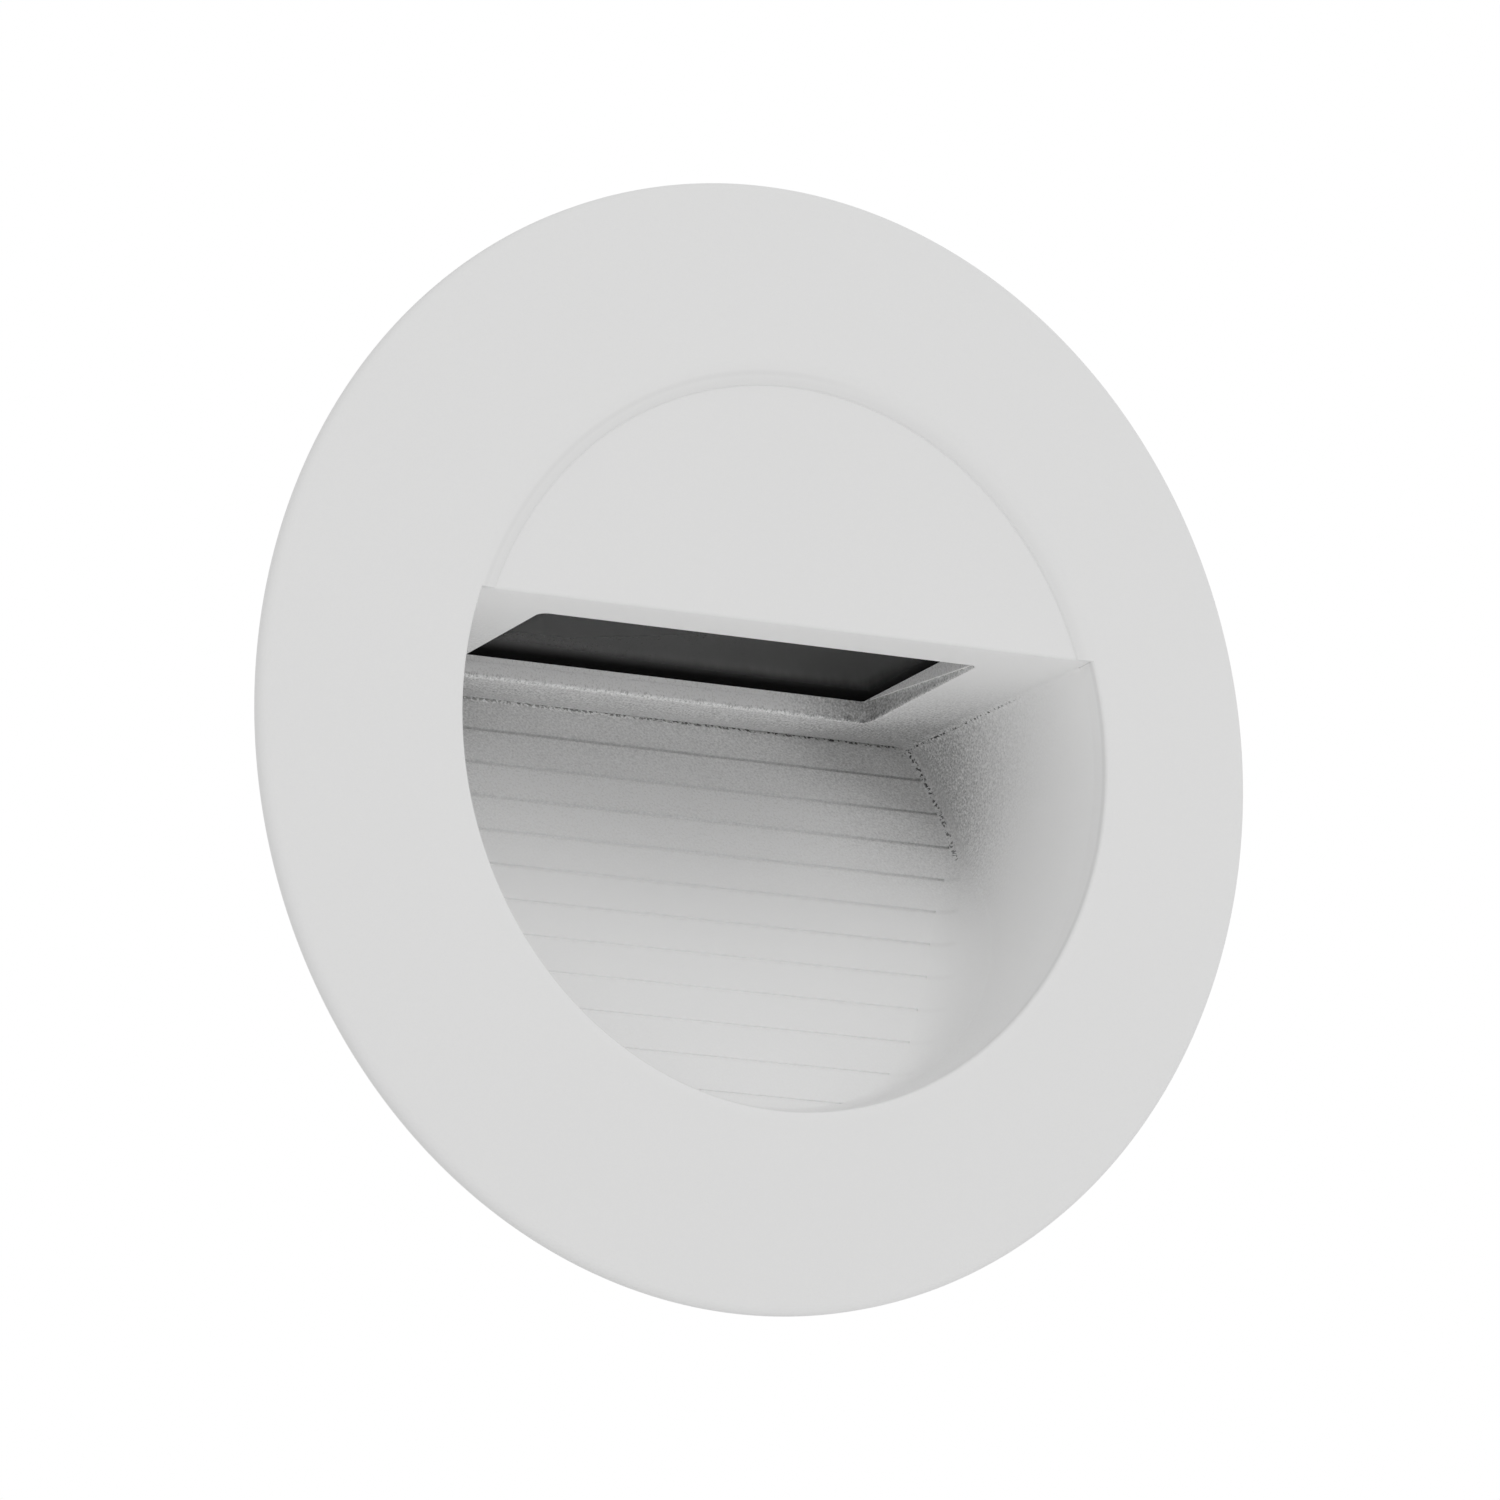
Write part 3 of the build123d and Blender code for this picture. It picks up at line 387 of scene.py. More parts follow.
def bandShade(at):
    # painted shade on the bezel's rolled lip over the hood, a fine painted shade line at its outer left,
    # and on the bezel's own rim
    zone = at.y.fade(*bandShadeSettings["front"]) * at.z.fade(*bandShadeSettings["rise"])
    band = at.radius.fade(*bandShadeSettings["outer"]) * at.radius.fade(*bandShadeSettings["inner"]) * bandShadeSettings["tone"]
    line = at.radius.fade(*bandShadeSettings["lineInner"]) * at.radius.fade(*bandShadeSettings["lineOuter"])
    line = line * at.x.fade(*bandShadeSettings["lineAcross"]) * bandShadeSettings["lineTone"]
    rim = at.radius.fade(*bandShadeSettings["rim"]) * at.y.fade(*bandShadeSettings["rimDepth"]) * bandShadeSettings["rimTone"]
    return (band + line) * zone + rim


whiteCoat = {
    "white": 0.91,
    "innerPaintedLight": 0.99,
    "warmth": 0.997,
    "rough": 0.48,
    "roughSpread": 0.18,
    "peel": (0.00055, 2, 0.55),
    "peelShare": 0.7,
    "grain": (0.00016, 3, 0.6),
    "grainShare": 0.3,
    "grainTone": 0.05,
    "cloud": (0.02, 2, 0.5),
    "cloudTone": 0.012,
    "bump": (0.00004, 0.35),
}


def makeWhiteCoat():
    finish, where, feed = startFinish("whiteCoat", IOR=1.5)
    peel = where.noise(*whiteCoat["peel"])
    grain = where.noise(*whiteCoat["grain"])
    cloud = where.noise(*whiteCoat["cloud"])
    sand = where.noise(*recessCoat["sand"])
    at = coatPlaces(where)
    windowWall, windowPaintedShade = windowShade(at)
    # painted shade in the recess's corners and on the window's walls
    shade = cornerShade(at) + windowPaintedShade
    sandy = at.z.fade(*recessCoat["sandyRise"]) * at.deep * recessCoat["sandyTone"]
    sandy = sandy + windowWall * windowShadeSettings["sandTone"] + shade * recessCoat["shadeSand"]
    sandy = sandy * (1 + at.toBack.fade(*recessCoat["offBack"]))
    tone = 1 + cloud.swing(whiteCoat["cloudTone"]) + grain.swing(whiteCoat["grainTone"])
    tone = tone + sand.swing(sandy)
    # painted light: inside the recess the coat is whiter, which brightens the recess
    white = whiteCoat["white"] + at.inside * (whiteCoat["innerPaintedLight"] - whiteCoat["white"])
    # painted shade also along the grooves and on the bezel's lip and rim
    base = tone * white * (1 - shade) * seamDots(where, at) * (1 - grooveShade(at)) * (1 - bandShade(at))
    colour = base.node("ShaderNodeCombineColor", None, {0: base, 1: base, 2: base * whiteCoat["warmth"]})
    feed(
        Base_Color=colour,
        Roughness=whiteCoat["rough"] + peel.swing(whiteCoat["roughSpread"]),
        Normal=(peel * whiteCoat["peelShare"] + grain * whiteCoat["grainShare"]).bump(*whiteCoat["bump"]),
    )
    return finish


smokedLens = {
    "light": 0.056,
    "dark": 0.02,
    "across": (-0.02, 0.03),
    "acrossShare": 0.6,
    "depth": (-0.002, 0.02),
    "depthShare": 0.4,
    "rough": 0.12,
    "haze": (0.004, 3, 0.6),
    "hazeRough": 0.08,
    "dust": (0.0003, 2, 0.5),
    "dustRange": (0.62, 0.8),
    "dustShare": 0.4,
    "dustTone": 0.07,
    "border": 0.006,
    "borderPale": 0.009,
    "borderRough": 0.9,
    "borderEnd": (0.0213, 0.0266),
    "borderRear": (0.0212, 0.0268),
    "borderFront": (0.0095, 0.0065),
}


def makeSmokedLens():
    finish, where, feed = startFinish("smokedLens", IOR=1.18)
    x, y, _ = where.parts()
    haze = where.noise(*smokedLens["haze"])
    dust = where.noise(*smokedLens["dust"])
    # painted shade: the glass is darker towards its right end and its rear
    across = x.fade(*smokedLens["across"]) * smokedLens["acrossShare"]
    depth = y.fade(*smokedLens["depth"]) * smokedLens["depthShare"]
    glassPaintedShade = (across + depth).blend(grey(smokedLens["light"]), grey(smokedLens["dark"]))
    dusty = dust.fade(*smokedLens["dustRange"]) * smokedLens["dustShare"]
    feed(
        Base_Color=dusty.blend(glassPaintedShade, grey(smokedLens["dustTone"])),
        Roughness=smokedLens["rough"] + haze * smokedLens["hazeRough"],
    )
    # dull black band all round the lens, a painted reflection of the window's shaded walls and dark gasket
    along = planeGap(where, underPoint, shelfBack)
    border = abs(x).fade(*smokedLens["borderEnd"])
    for key in ("borderRear", "borderFront"):
        border = border.maths("MAXIMUM", along.fade(*smokedLens[key]))
    tree = finish.node_tree
    glass = Sock(tree, tree.nodes["Principled BSDF"].outputs[0])
    paintedReflectionTone = dust.blend(grey(smokedLens["border"]), grey(smokedLens["borderPale"]))
    dull = {"Base Color": paintedReflectionTone, "Roughness": smokedLens["borderRough"], "Specular IOR Level": 0.0}
    paintedReflectionShader = glass.node("ShaderNodeBsdfPrincipled", None, dull)
    whole = glass.node("ShaderNodeMixShader", None, {0: border, 1: glass, 2: paintedReflectionShader})
    tree.links.new(whole.link, tree.nodes["Material Output"].inputs["Surface"])
    return finish


rubber = {
    "pores": (0.00025, 3, 0.6),
    "wear": (0.006, 3, 0.55),
    "wearRange": (0.35, 0.8),
    "worn": 1.6,
    "rough": 0.72,
    "roughSpread": 0.2,
    "bump": (0.00003, 0.5),
}


def makeRubber(name, tone):
    finish, where, feed = startFinish(name, IOR=1.5)
    pores = where.noise(*rubber["pores"])
    wear = where.noise(*rubber["wear"])
    feed(
        Base_Color=wear.fade(*rubber["wearRange"]).blend(grey(tone), grey(tone * rubber["worn"])),
        Roughness=rubber["rough"] + pores.swing(rubber["roughSpread"]),
        Normal=pores.bump(*rubber["bump"]),
    )
    return finish


plastic = {
    "grain": 0.00035,
    "cloud": (0.012, 3, 0.5),
    "cloudRange": (0.3, 0.75),
    "light": 1.12,
    "roughSpread": 0.12,
    "bump": (0.00003, 0.45),
}


def makePlastic(name, colour, rough):
    finish, where, feed = startFinish(name, IOR=1.48)
    grain = where.cells(plastic["grain"])
    cloud = where.noise(*plastic["cloud"])
    light = tuple(min(1, part * plastic["light"]) for part in colour) + (1,)
    feed(
        Base_Color=cloud.fade(*plastic["cloudRange"]).blend(colour + (1,), light),
        Roughness=rough + cloud.swing(plastic["roughSpread"]),
        Normal=grain.bump(*plastic["bump"]),
    )
    return finish


metal = {
    "grain": (0.0003, 3, 0.6),
    "grainRough": 0.22,
    "stain": (0.007, 4, 0.6),
    "stainRange": (0.3, 0.75),
    "stainRough": 0.08,
    "dull": 0.86,
    "bump": (0.00002, 0.4),
}


def makeMetal(name, colour, rough, streak):
    # streak scales the grain: None is an even casting, a small number draws it out along that axis
    finish, where, feed = startFinish(name, Metallic=1.0)
    grain = where.noise(*metal["grain"], streak)
    stain = where.noise(*metal["stain"])
    dull = tuple(part * metal["dull"] for part in colour) + (1,)
    feed(
        Base_Color=stain.fade(*metal["stainRange"]).blend(dull, colour + (1,)),
        Roughness=rough + grain.swing(metal["grainRough"]) + stain.swing(metal["stainRough"]),
        Normal=grain.bump(*metal["bump"]),
    )
    return finish


finishes = {
    "white_coat": makeWhiteCoat(),
    "dark_lens": makeSmokedLens(),
    "seal_rubber": makeRubber("sealRubber", 0.012),
    "sleeve_rubber": makeRubber("sleeveRubber", 0.022),
    "black_plastic": makePlastic("blackPlastic", (0.016, 0.016, 0.017), 0.5),
    "driver_plastic": makePlastic("driverPlastic", (0.5, 0.5, 0.48), 0.45),
    "terminal_plastic": makePlastic("terminalPlastic", (0.62, 0.6, 0.53), 0.35),
    "board_white": makePlastic("boardWhite", (0.72, 0.72, 0.7), 0.3),
    "chip_yellow": makePlastic("chipYellow", (0.78, 0.5, 0.06), 0.4),
    "cast_aluminium": makeMetal("castAluminium", (0.56, 0.57, 0.58), 0.5, None),
    "clip_steel": makeMetal("clipSteel", (0.58, 0.57, 0.55), 0.3, (1, 0.06, 1)),
    "pin_steel": makeMetal("pinSteel", (0.5, 0.5, 0.49), 0.3, (0.06, 1, 1)),
    "spring_steel": makeMetal("springSteel", (0.42, 0.42, 0.42), 0.32, None),
    "zinc_screw": makeMetal("zincScrew", (0.6, 0.61, 0.63), 0.32, None),
    "brass_screw": makeMetal("brassScrew", (0.72, 0.53, 0.22), 0.3, None),
}
print("finishes made:", len(finishes))


# mesh tools; pieces are made in mm and brought to metres when they are dressed
meshing = {
    "weld": 1e-5,
    "cadWeld": 0.0004,
    "onPlane": 1e-3,
    "cadFlat": 0.4,  # degrees, as are the next two
    "bevelAngle": 40,
    "softSmooth": 35,
    "bevelSteps": 3,
    "flatWeight": 100,
}
past = 1.0  # how far a cutting tool runs past its piece
# shares of one segment by which lathe tools are turned, so that no facet lies on another's
firstTool, secondTool, thirdTool = 0.37, 0.61, 0.23


def newPiece(name, mesh):
    piece = bpy.data.objects.new(name, mesh)
    scene.collection.objects.link(piece)
    return piece


def fromBmesh(name, bm):
    bmesh.ops.recalc_face_normals(bm, faces=bm.faces)
    mesh = bpy.data.meshes.new(name)
    bm.to_mesh(mesh)
    bm.free()
    return newPiece(name, mesh)


def rounded(corners, steps=8):
    # corners are (a, b, radius); a radius of 0 stays sharp
    points = []
    for number, (a, b, radius) in enumerate(corners):
        here = Vector((a, b))
        if not radius:
            points.append(here)
            continue
        before = (Vector(corners[number - 1][:2]) - here).normalized()
        after = (Vector(corners[(number + 1) % len(corners)][:2]) - here).normalized()
        half = before.angle(after) / 2
        centre = here + (before + after).normalized() * (radius / math.sin(half))
        first = here + before * (radius / math.tan(half)) - centre
        last = here + after * (radius / math.tan(half)) - centre
        turn = math.atan2(first.x * last.y - first.y * last.x, first.dot(last))
        for step in range(steps + 1):
            points.append(centre + Matrix.Rotation(turn * step / steps, 2) @ first)
    return points


def bridge(bm, low, high):
    # faces between two like rings of points
    for number in range(len(low)):
        following = (number + 1) % len(low)
        bm.faces.new((low[number], low[following], high[following], high[number]))


def lathe(name, profile, phase=0.0, segments=360):
    # profile points are (radius, depth), turned about the light's axis
    bm = bmesh.new()
    rings = []
    for number in range(segments):
        turn = 2 * math.pi * (number + phase) / segments
        rings.append([
            bm.verts.new((radius * math.cos(turn), depth, radius * math.sin(turn)))
            for radius, depth in profile
        ])
    for number, ring in enumerate(rings):
        bridge(bm, ring, rings[(number + 1) % segments])
    bmesh.ops.remove_doubles(bm, verts=bm.verts, dist=meshing["weld"])
    return fromBmesh(name, bm)


def disc(name, radius, start, end, phase, segments=360):
    return lathe(name, [(0, start), (radius, start), (radius, end), (0, end)], phase, segments)


def prism(name, ends):
    # a solid between two like outlines
    bm = bmesh.new()
    low, high = ([bm.verts.new(point) for point in outline] for outline in ends)
    bridge(bm, low, high)
    bm.faces.new(low)
    bm.faces.new(high)
    return fromBmesh(name, bm)


def keepSide(piece, point, normal):
    # cuts the piece by a plane, keeps the side that the normal points to and closes the cut
    bm = bmesh.new()
    bm.from_mesh(piece.data)
    everything = bm.verts[:] + bm.edges[:] + bm.faces[:]
    cut = bmesh.ops.bisect_plane(bm, geom=everything, plane_co=point, plane_no=normal, clear_inner=True)
    rim = [part for part in cut["geom_cut"] if isinstance(part, bmesh.types.BMEdge)]
    bmesh.ops.contextual_create(bm, geom=rim)
    bmesh.ops.recalc_face_normals(bm, faces=bm.faces)
    bm.to_mesh(piece.data)
    bm.free()


def builtMesh(piece):
    bpy.context.view_layer.update()
    solid = piece.evaluated_get(bpy.context.evaluated_depsgraph_get())
    return bpy.data.meshes.new_from_object(solid)


def bakeModifiers(piece):
    mesh = builtMesh(piece)
    piece.modifiers.clear()
    piece.data = mesh


def carve(piece, tool, operation="DIFFERENCE"):
    change = piece.modifiers.new("carve", "BOOLEAN")
    change.operation = operation
    change.solver = "EXACT"
    change.object = tool
    bakeModifiers(piece)
    bpy.data.objects.remove(tool)


def addTo(piece, other):
    # joins a closed solid that overlaps the piece, with neither cut
    bm = bmesh.new()
    bm.from_mesh(piece.data)
    bm.from_mesh(other.data)
    bm.to_mesh(piece.data)
    bm.free()
    bpy.data.objects.remove(other)


def smoothFaces(piece, angle=30):
    # round surfaces smooth, large faces flat
    for face in piece.data.polygons:
        face.use_smooth = True
    piece.data.set_sharp_from_angle(angle=math.radians(angle))
    weigh = piece.modifiers.new("weigh", "WEIGHTED_NORMAL")
    weigh.weight = meshing["flatWeight"]
    weigh.keep_sharp = True
    bakeModifiers(piece)


def softEdges(piece, width):
    bevel = piece.modifiers.new("soft", "BEVEL")
    bevel.width = width
    bevel.segments = meshing["bevelSteps"]
    bevel.limit_method = "ANGLE"
    bevel.angle_limit = math.radians(meshing["bevelAngle"])
    bevel.use_clamp_overlap = False
    bakeModifiers(piece)


def moved(piece, x=0.0, y=0.0, z=0.0):
    piece.data.transform(Matrix.Translation((x, y, z)))
    return piece


def dress(piece, slot, *stands):
    # brings the piece to metres, with its finish and the CAD nodes that it stands for
    piece.data.transform(Matrix.Scale(mm, 4))
    piece.data.materials.clear()
    piece.data.materials.append(finishes[slot])
    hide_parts(*stands)


def softCopy(name, node, width):
    # a CAD node's own form with its sharp edges rounded
    bm = bmesh.new()
    bm.from_mesh(nodes[node].data)
    bm.transform(Matrix.Scale(1 / mm, 4) @ nodes[node].matrix_world)
    bmesh.ops.remove_doubles(bm, verts=bm.verts, dist=meshing["cadWeld"])
    flat = math.radians(meshing["cadFlat"])
    bmesh.ops.dissolve_limit(bm, angle_limit=flat, verts=bm.verts, edges=bm.edges)
    piece = fromBmesh(name, bm)
    softEdges(piece, width)
    smoothFaces(piece, meshing["softSmooth"])
    return piece


# Geometry Nodes: a piece on every seat, turned to the seat's aim and stretched to its size
def seatTree():
    tree = bpy.data.node_groups.new("piecesOnSeats", "GeometryNodeTree")
    face = tree.interface
    face.new_socket("Geometry", in_out="OUTPUT", socket_type="NodeSocketGeometry")
    sockets = {"Seats": "Geometry", "Piece": "Object", "Spin": "Float", "Seed": "Int", "Finish": "Material"}
    for name, kind in sockets.items():
        face.new_socket(name, in_out="INPUT", socket_type="NodeSocket" + kind)
    entry = tree.nodes.new("NodeGroupInput").outputs
    seats, piece, spin, seed, finish = (Sock(tree, entry[name]) for name in sockets)
    aim, size = (
        seats.node("GeometryNodeInputNamedAttribute", {"data_type": "FLOAT_VECTOR"}, {"Name": name})
        for name in ("aim", "size")
    )
    stand = aim.node("FunctionNodeAlignRotationToVector", {"axis": "Z"}, {"Vector": aim})
    angle = spin.node("FunctionNodeRandomValue", {"data_type": "FLOAT"}, {"Max": spin, "Seed": seed}, 1)
    twist = angle.node("FunctionNodeAxisAngleToRotation", None, {"Axis": (0, 0, 1), "Angle": angle})
    both = {"Rotation": stand, "Rotate By": twist}
    turn = stand.node("FunctionNodeRotateRotation", {"rotation_space": "LOCAL"}, both)
    form = piece.node("GeometryNodeObjectInfo", None, {"Object": piece}, "Geometry")
    placed = seats.node(
        "GeometryNodeInstanceOnPoints", None,
        {"Points": seats, "Instance": form, "Rotation": turn, "Scale": size},
    )
    real = placed.node("GeometryNodeRealizeInstances", None, {0: placed})
    coated = real.node("GeometryNodeSetMaterial", None, {"Geometry": real, "Material": finish})
    tree.links.new(coated.link, tree.nodes.new("NodeGroupOutput").inputs[0])
    return tree


piecesOnSeats = seatTree()


def growPieces(name, seats, piece, finish, spin=0.0, seed=0):
    # seats are (point, aim, size)
    mesh = bpy.data.meshes.new(name)
    mesh.from_pydata([seat[0] for seat in seats], [], [])
    for column, key in ((1, "aim"), (2, "size")):
        values = mesh.attributes.new(key, "FLOAT_VECTOR", "POINT")
        for number, seat in enumerate(seats):
            values.data[number].vector = seat[column]
    grown = newPiece(name, mesh)
    grow = grown.modifiers.new("seats", "NODES")
    grow.node_group = piecesOnSeats
    inputs = {"Piece": piece, "Spin": spin, "Seed": seed, "Finish": finish}
    for item in piecesOnSeats.interface.items_tree:
        if item.in_out == "INPUT" and item.name in inputs:
            grow[item.identifier] = inputs[item.name]
    bakeModifiers(grown)
    bpy.data.objects.remove(piece)
    return grown


# bezel ring: cone, rolled lip over the hood, open mouth below it
bezel = {
    "radius": 59.98,
    "edge": 1.9,
    "edgeRound": 1.2,
    "crest": 39.9,
    "crestRise": 6.88,
    "crestRound": 2.2,
    "lip": 37.5,
    "lipDrop": 0.5,
    "lipRound": 0.35,
    "mouthRound": 0.45,
    "mouthFlare": 1.2,
    "mouthDrop": 0.05,
    "toolFront": -9.0,
    "pocket": 43.8,
    "hoodPocket": 41.1,
    "pocketDrop": 0.02,
    "grooveInner": 52.7,
    "grooveOuter": 57.5,
    "grooveDepth": 1.4,
    "wall": 1.8,
    "backRound": 0.25,
}


def makeBezel():
    slope = (bezel["crestRise"] - bezel["edge"]) / (bezel["radius"] - bezel["crest"])
    innerFront = slope * (bezel["grooveInner"] - bezel["crest"]) - bezel["crestRise"]
    ring = lathe("bezelRing", rounded([
        (bezel["radius"], 0, bezel["backRound"]),
        (bezel["radius"], -bezel["edge"], bezel["edgeRound"]),
        (bezel["crest"], -bezel["crestRise"], bezel["crestRound"]),
        (bezel["lip"], bezel["lipDrop"] - bezel["crestRise"], bezel["lipRound"]),
        (bezel["lip"], -recess["seat"], 0),
        (bezel["pocket"], -recess["seat"], 0),
        (bezel["grooveInner"], innerFront + bezel["wall"], 0),
        (bezel["grooveInner"], -bezel["grooveDepth"], 0),
        (bezel["grooveOuter"], -bezel["grooveDepth"], 0),
        (bezel["grooveOuter"], 0, bezel["backRound"]),
    ]))
    flare, brim = recess["mouth"] + bezel["mouthFlare"], -bezel["crestRise"] + bezel["mouthDrop"]
    toolBack = -recess["seat"] + past
    mouth = lathe("mouthTool", rounded([
        (0, bezel["toolFront"], 0),
        (flare, bezel["toolFront"], 0),
        (flare, brim, 0),
        (recess["mouth"], brim, bezel["mouthRound"]),
        (recess["mouth"], toolBack, 0),
        (0, toolBack, 0),
    ]), firstTool)
    keepSide(mouth, underPoint, -underNormal)
    carve(ring, mouth)
    pocket = disc("hoodPocketTool", bezel["hoodPocket"], -recess["hoodFace"], toolBack, secondTool)
    keepSide(pocket, underPoint - underNormal * bezel["pocketDrop"], underNormal)
    carve(ring, pocket)
    smoothFaces(ring)
    dress(ring, "white_coat", "bezel_ring")
    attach(ring, "light_body")
    print("bezel ring:", len(ring.data.polygons), "faces")


makeBezel()


# recess tub: flange, tapered wall and sloping back with its grooves
tub = {
    "wall": 1.4,
    "wallStart": 0.6,
    "spaceStart": -2.0,
    "flange": 43.5,
    "flangeBack": -2.7,
    "deepest": 62.0,
    "grooves": 11,
    "grooveWidth": 0.4,
    "grooveRise": 0.3,
    "grooveDepth": (0.34, 0.16),
    "grooveCorner": 0.5,
    "grooveSteps": 4,
    "seamRound": 0.9,
    "seamSteps": 6,
    "seamProfile": 0.5,
    "cornerRoot": 0.4,
    "cornerFacets": 8,
    "roofStart": 0.1,
    "roofPast": 7.2,
    "roofRound": (0.5, 1.6),
    "roofSteps": 40,
    "roofDrop": 0.01,
    "backRound": (0.9, 6.5),
    "backSteps": 120,
    "backFrom": 9,
    "backGrowth": 0.14,
    "backRoom": 0.7,
    "backTries": 12,
    "smooth": 20,
}


def coneTool(name, extra, start, end, phase=0.0):
    # the recess's own taper, made wider by extra
    return lathe(name, [
        (0, start),
        (recessRadius(start) + extra, start),
        (recessRadius(end) + extra, end),
        (0, end),
    ], phase)


def roundSeam(piece, point, normal, radius):
    # rounds the edge all round one flat face
    def onFace(end):
        return abs((end.co - point).dot(normal)) < meshing["onPlane"]

    bm = bmesh.new()
    bm.from_mesh(piece.data)
    seam = [edge for edge in bm.edges if all(onFace(end) for end in edge.verts)]
    bmesh.ops.bevel(
        bm, geom=seam, offset=radius, segments=tub["seamSteps"], profile=tub["seamProfile"],
        affect="EDGES",
    )
    bmesh.ops.recalc_face_normals(bm, faces=bm.faces)
    bm.to_mesh(piece.data)
    bm.free()


def makeGrooves():
    # bars that cut the grooves, each as long as the slope is wide there
    wide, high, corner = tub["grooveWidth"] / 2, tub["grooveRise"], tub["grooveCorner"]
    corners = [(-1, high, 0), (-1, -1, corner), (1, -1, corner), (1, high, 0)]
    outline = rounded(corners, tub["grooveSteps"])
    bar = prism("grooveBar", [[(side, y, z) for y, z in outline] for side in (-1, 1)])
    seats = []
    for number in range(tub["grooves"]):
        place = ribPoint + ribUp * (recess["grooveTop"] - recess["groovePitch"] * number)
        reach = math.sqrt(recessRadius(place.y) ** 2 - place.z ** 2) - tub["seamRound"] / 2
        top, bottom = tub["grooveDepth"]
        depth = top + (bottom - top) * number / (tub["grooves"] - 1)
        seats.append((place, ribNormal, (reach, wide, depth)))
    return growPieces("grooveBars", seats, bar, finishes["white_coat"])


def wallInward(point):
    # the side wall's normal, into the recess
    wide = math.hypot(point.x, point.z)
    return Vector((-point.x / wide, -recess["taper"], -point.z / wide)).normalized()


def filletRing(corner, floor, radius, lift):
    # a fillet's outline at one corner point; below zero, lift roots it in the floor
    wall = wallInward(corner)
    run = wall.cross(floor).normalized()
    across, along = floor.cross(run), run.cross(wall)
    half = across.angle(along) / 2
    reach = radius / math.tan(half)
    centre = corner + (across + along).normalized() * (radius / math.sin(half))
    first, last = corner + across * reach - centre, corner + along * reach - centre
    turn, axis = first.angle(last), first.cross(last)
    shift, root = floor * lift, wall * -tub["cornerRoot"]
    arc = [
        centre + Matrix.Rotation(turn * part / tub["cornerFacets"], 3, axis) @ first
        for part in range(tub["cornerFacets"] + 1)
    ]
    ring = [arc[0] + shift] + arc if lift < 0 else [point + shift for point in arc]
    return ring + [arc[-1] + root + shift, corner + root + shift]


def filletStrip(name, stations):
    # round fillet along a corner; stations are (corner, floor's normal, radius, lift)
    bm = bmesh.new()
    rings = [[bm.verts.new(point) for point in filletRing(*station)] for station in stations]
    for low, high in zip(rings, rings[1:]):
        bridge(bm, low, high)
    bm.faces.new(rings[0])
    bm.faces.new(rings[-1])
    return fromBmesh(name, bm)


def makeRoofCorner(side):
    # where the side wall meets the hood's underside, wider with depth
    start, end = -recess["seat"] + tub["roofStart"], recess["ribDepth"] + tub["roofPast"]
    small, large = tub["roofRound"]
    stations = []
    for step in range(tub["roofSteps"] + 1):
        share = step / tub["roofSteps"]
        depth = start + (end - start) * share
        height = underPoint.z - (depth - underPoint.y) * math.tan(hoodTurn)
        corner = Vector((side * math.sqrt(recessRadius(depth) ** 2 - height ** 2), depth, height))
        radius = small + (large - small) * math.sin(share * math.pi / 2)
        stations.append((corner, -underNormal, radius, tub["roofDrop"]))
    return filletStrip("roofFillet", stations)


def makeBackCorner():
    # where the side wall meets the sloping back, round the lower half
    small, large = tub["backRound"]
    stations = []
    for step in range(tub["backSteps"] + 1):
        share = step / tub["backSteps"]
        turn = math.radians(tub["backFrom"]) + share * math.radians(180 - 2 * tub["backFrom"])
        # depth and height depend on each other, and settle in a few tries
        height = 0.0
        for _ in range(tub["backTries"]):
            depth = ribPoint.y + height * math.tan(ribTurn)
            height = -recessRadius(depth) * math.sin(turn)
        corner = Vector((recessRadius(depth) * math.cos(turn), depth, height))
        grown = math.sin(min(1, min(share, 1 - share) / tub["backGrowth"]) * math.pi / 2)
        room = (depth + recess["seat"]) * tub["backRoom"]
        radius = min(small + (large - small) * grown, room)
        stations.append((corner, ribNormal, radius, -tub["cornerRoot"]))
    return filletStrip("backFillet", stations)


def makeTub():
    body = coneTool("recessTub", tub["wall"], -recess["seat"] + tub["wallStart"], tub["deepest"])
    keepSide(body, ribPoint - ribNormal * recess["ribPlate"], ribNormal)
    keepSide(body, underPoint + underNormal * recess["shelf"], -underNormal)
    flange = disc("flangeDisc", tub["flange"], -recess["seat"], tub["flangeBack"], firstTool)
    carve(body, flange, "UNION")
    spaceStart = -recess["seat"] + tub["spaceStart"]
    space = coneTool("recessSpace", 0, spaceStart, tub["deepest"], secondTool)
    keepSide(space, ribPoint, ribNormal)
    roundSeam(space, ribPoint, ribNormal, tub["seamRound"])
    carve(space, makeGrooves(), "UNION")
    carve(body, space)
    for side in (-1, 1):
        carve(body, makeRoofCorner(side), "UNION")
    carve(body, makeBackCorner(), "UNION")
    smoothFaces(body, tub["smooth"])
    dress(body, "white_coat", "recess_tub")
    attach(body, "light_body")
    print("recess tub:", len(body.data.polygons), "faces")


makeTub()


# housing: cast drum with its lip, two pads for the clips and bosses for the cover's screws
housing = {
    "lip": 50.2,
    "lipFront": -1.9,
    "lipBack": -0.3,
    "lipRound": 0.35,
    "root": 42.82,
    "rootRound": 0.9,
    "bore": 40.8,
    "taper": 0.07,
    "end": 32.279,
    "endRadius": 40.54,
    "endRound": 0.5,
    "padHalf": 11.0,
    "padRoot": 31.8,
    "padTop": 44.0,
    "padStart": 7.5,
    "padEnd": 30.479,
    "padCorner": 1.6,
    "padRound": 0.45,
    "boss": 2.8,
    "bossLength": 5.5,
    "bossCircle": 36.84,
    "bossGap": 0.01,
    "bossSegments": 48,
}
screwTurns = [math.radians(angle) for angle in (45, 135, 225, 315)]


def screwSpots(circle, depth):
    return [Vector((circle * math.cos(turn), depth, circle * math.sin(turn))) for turn in screwTurns]


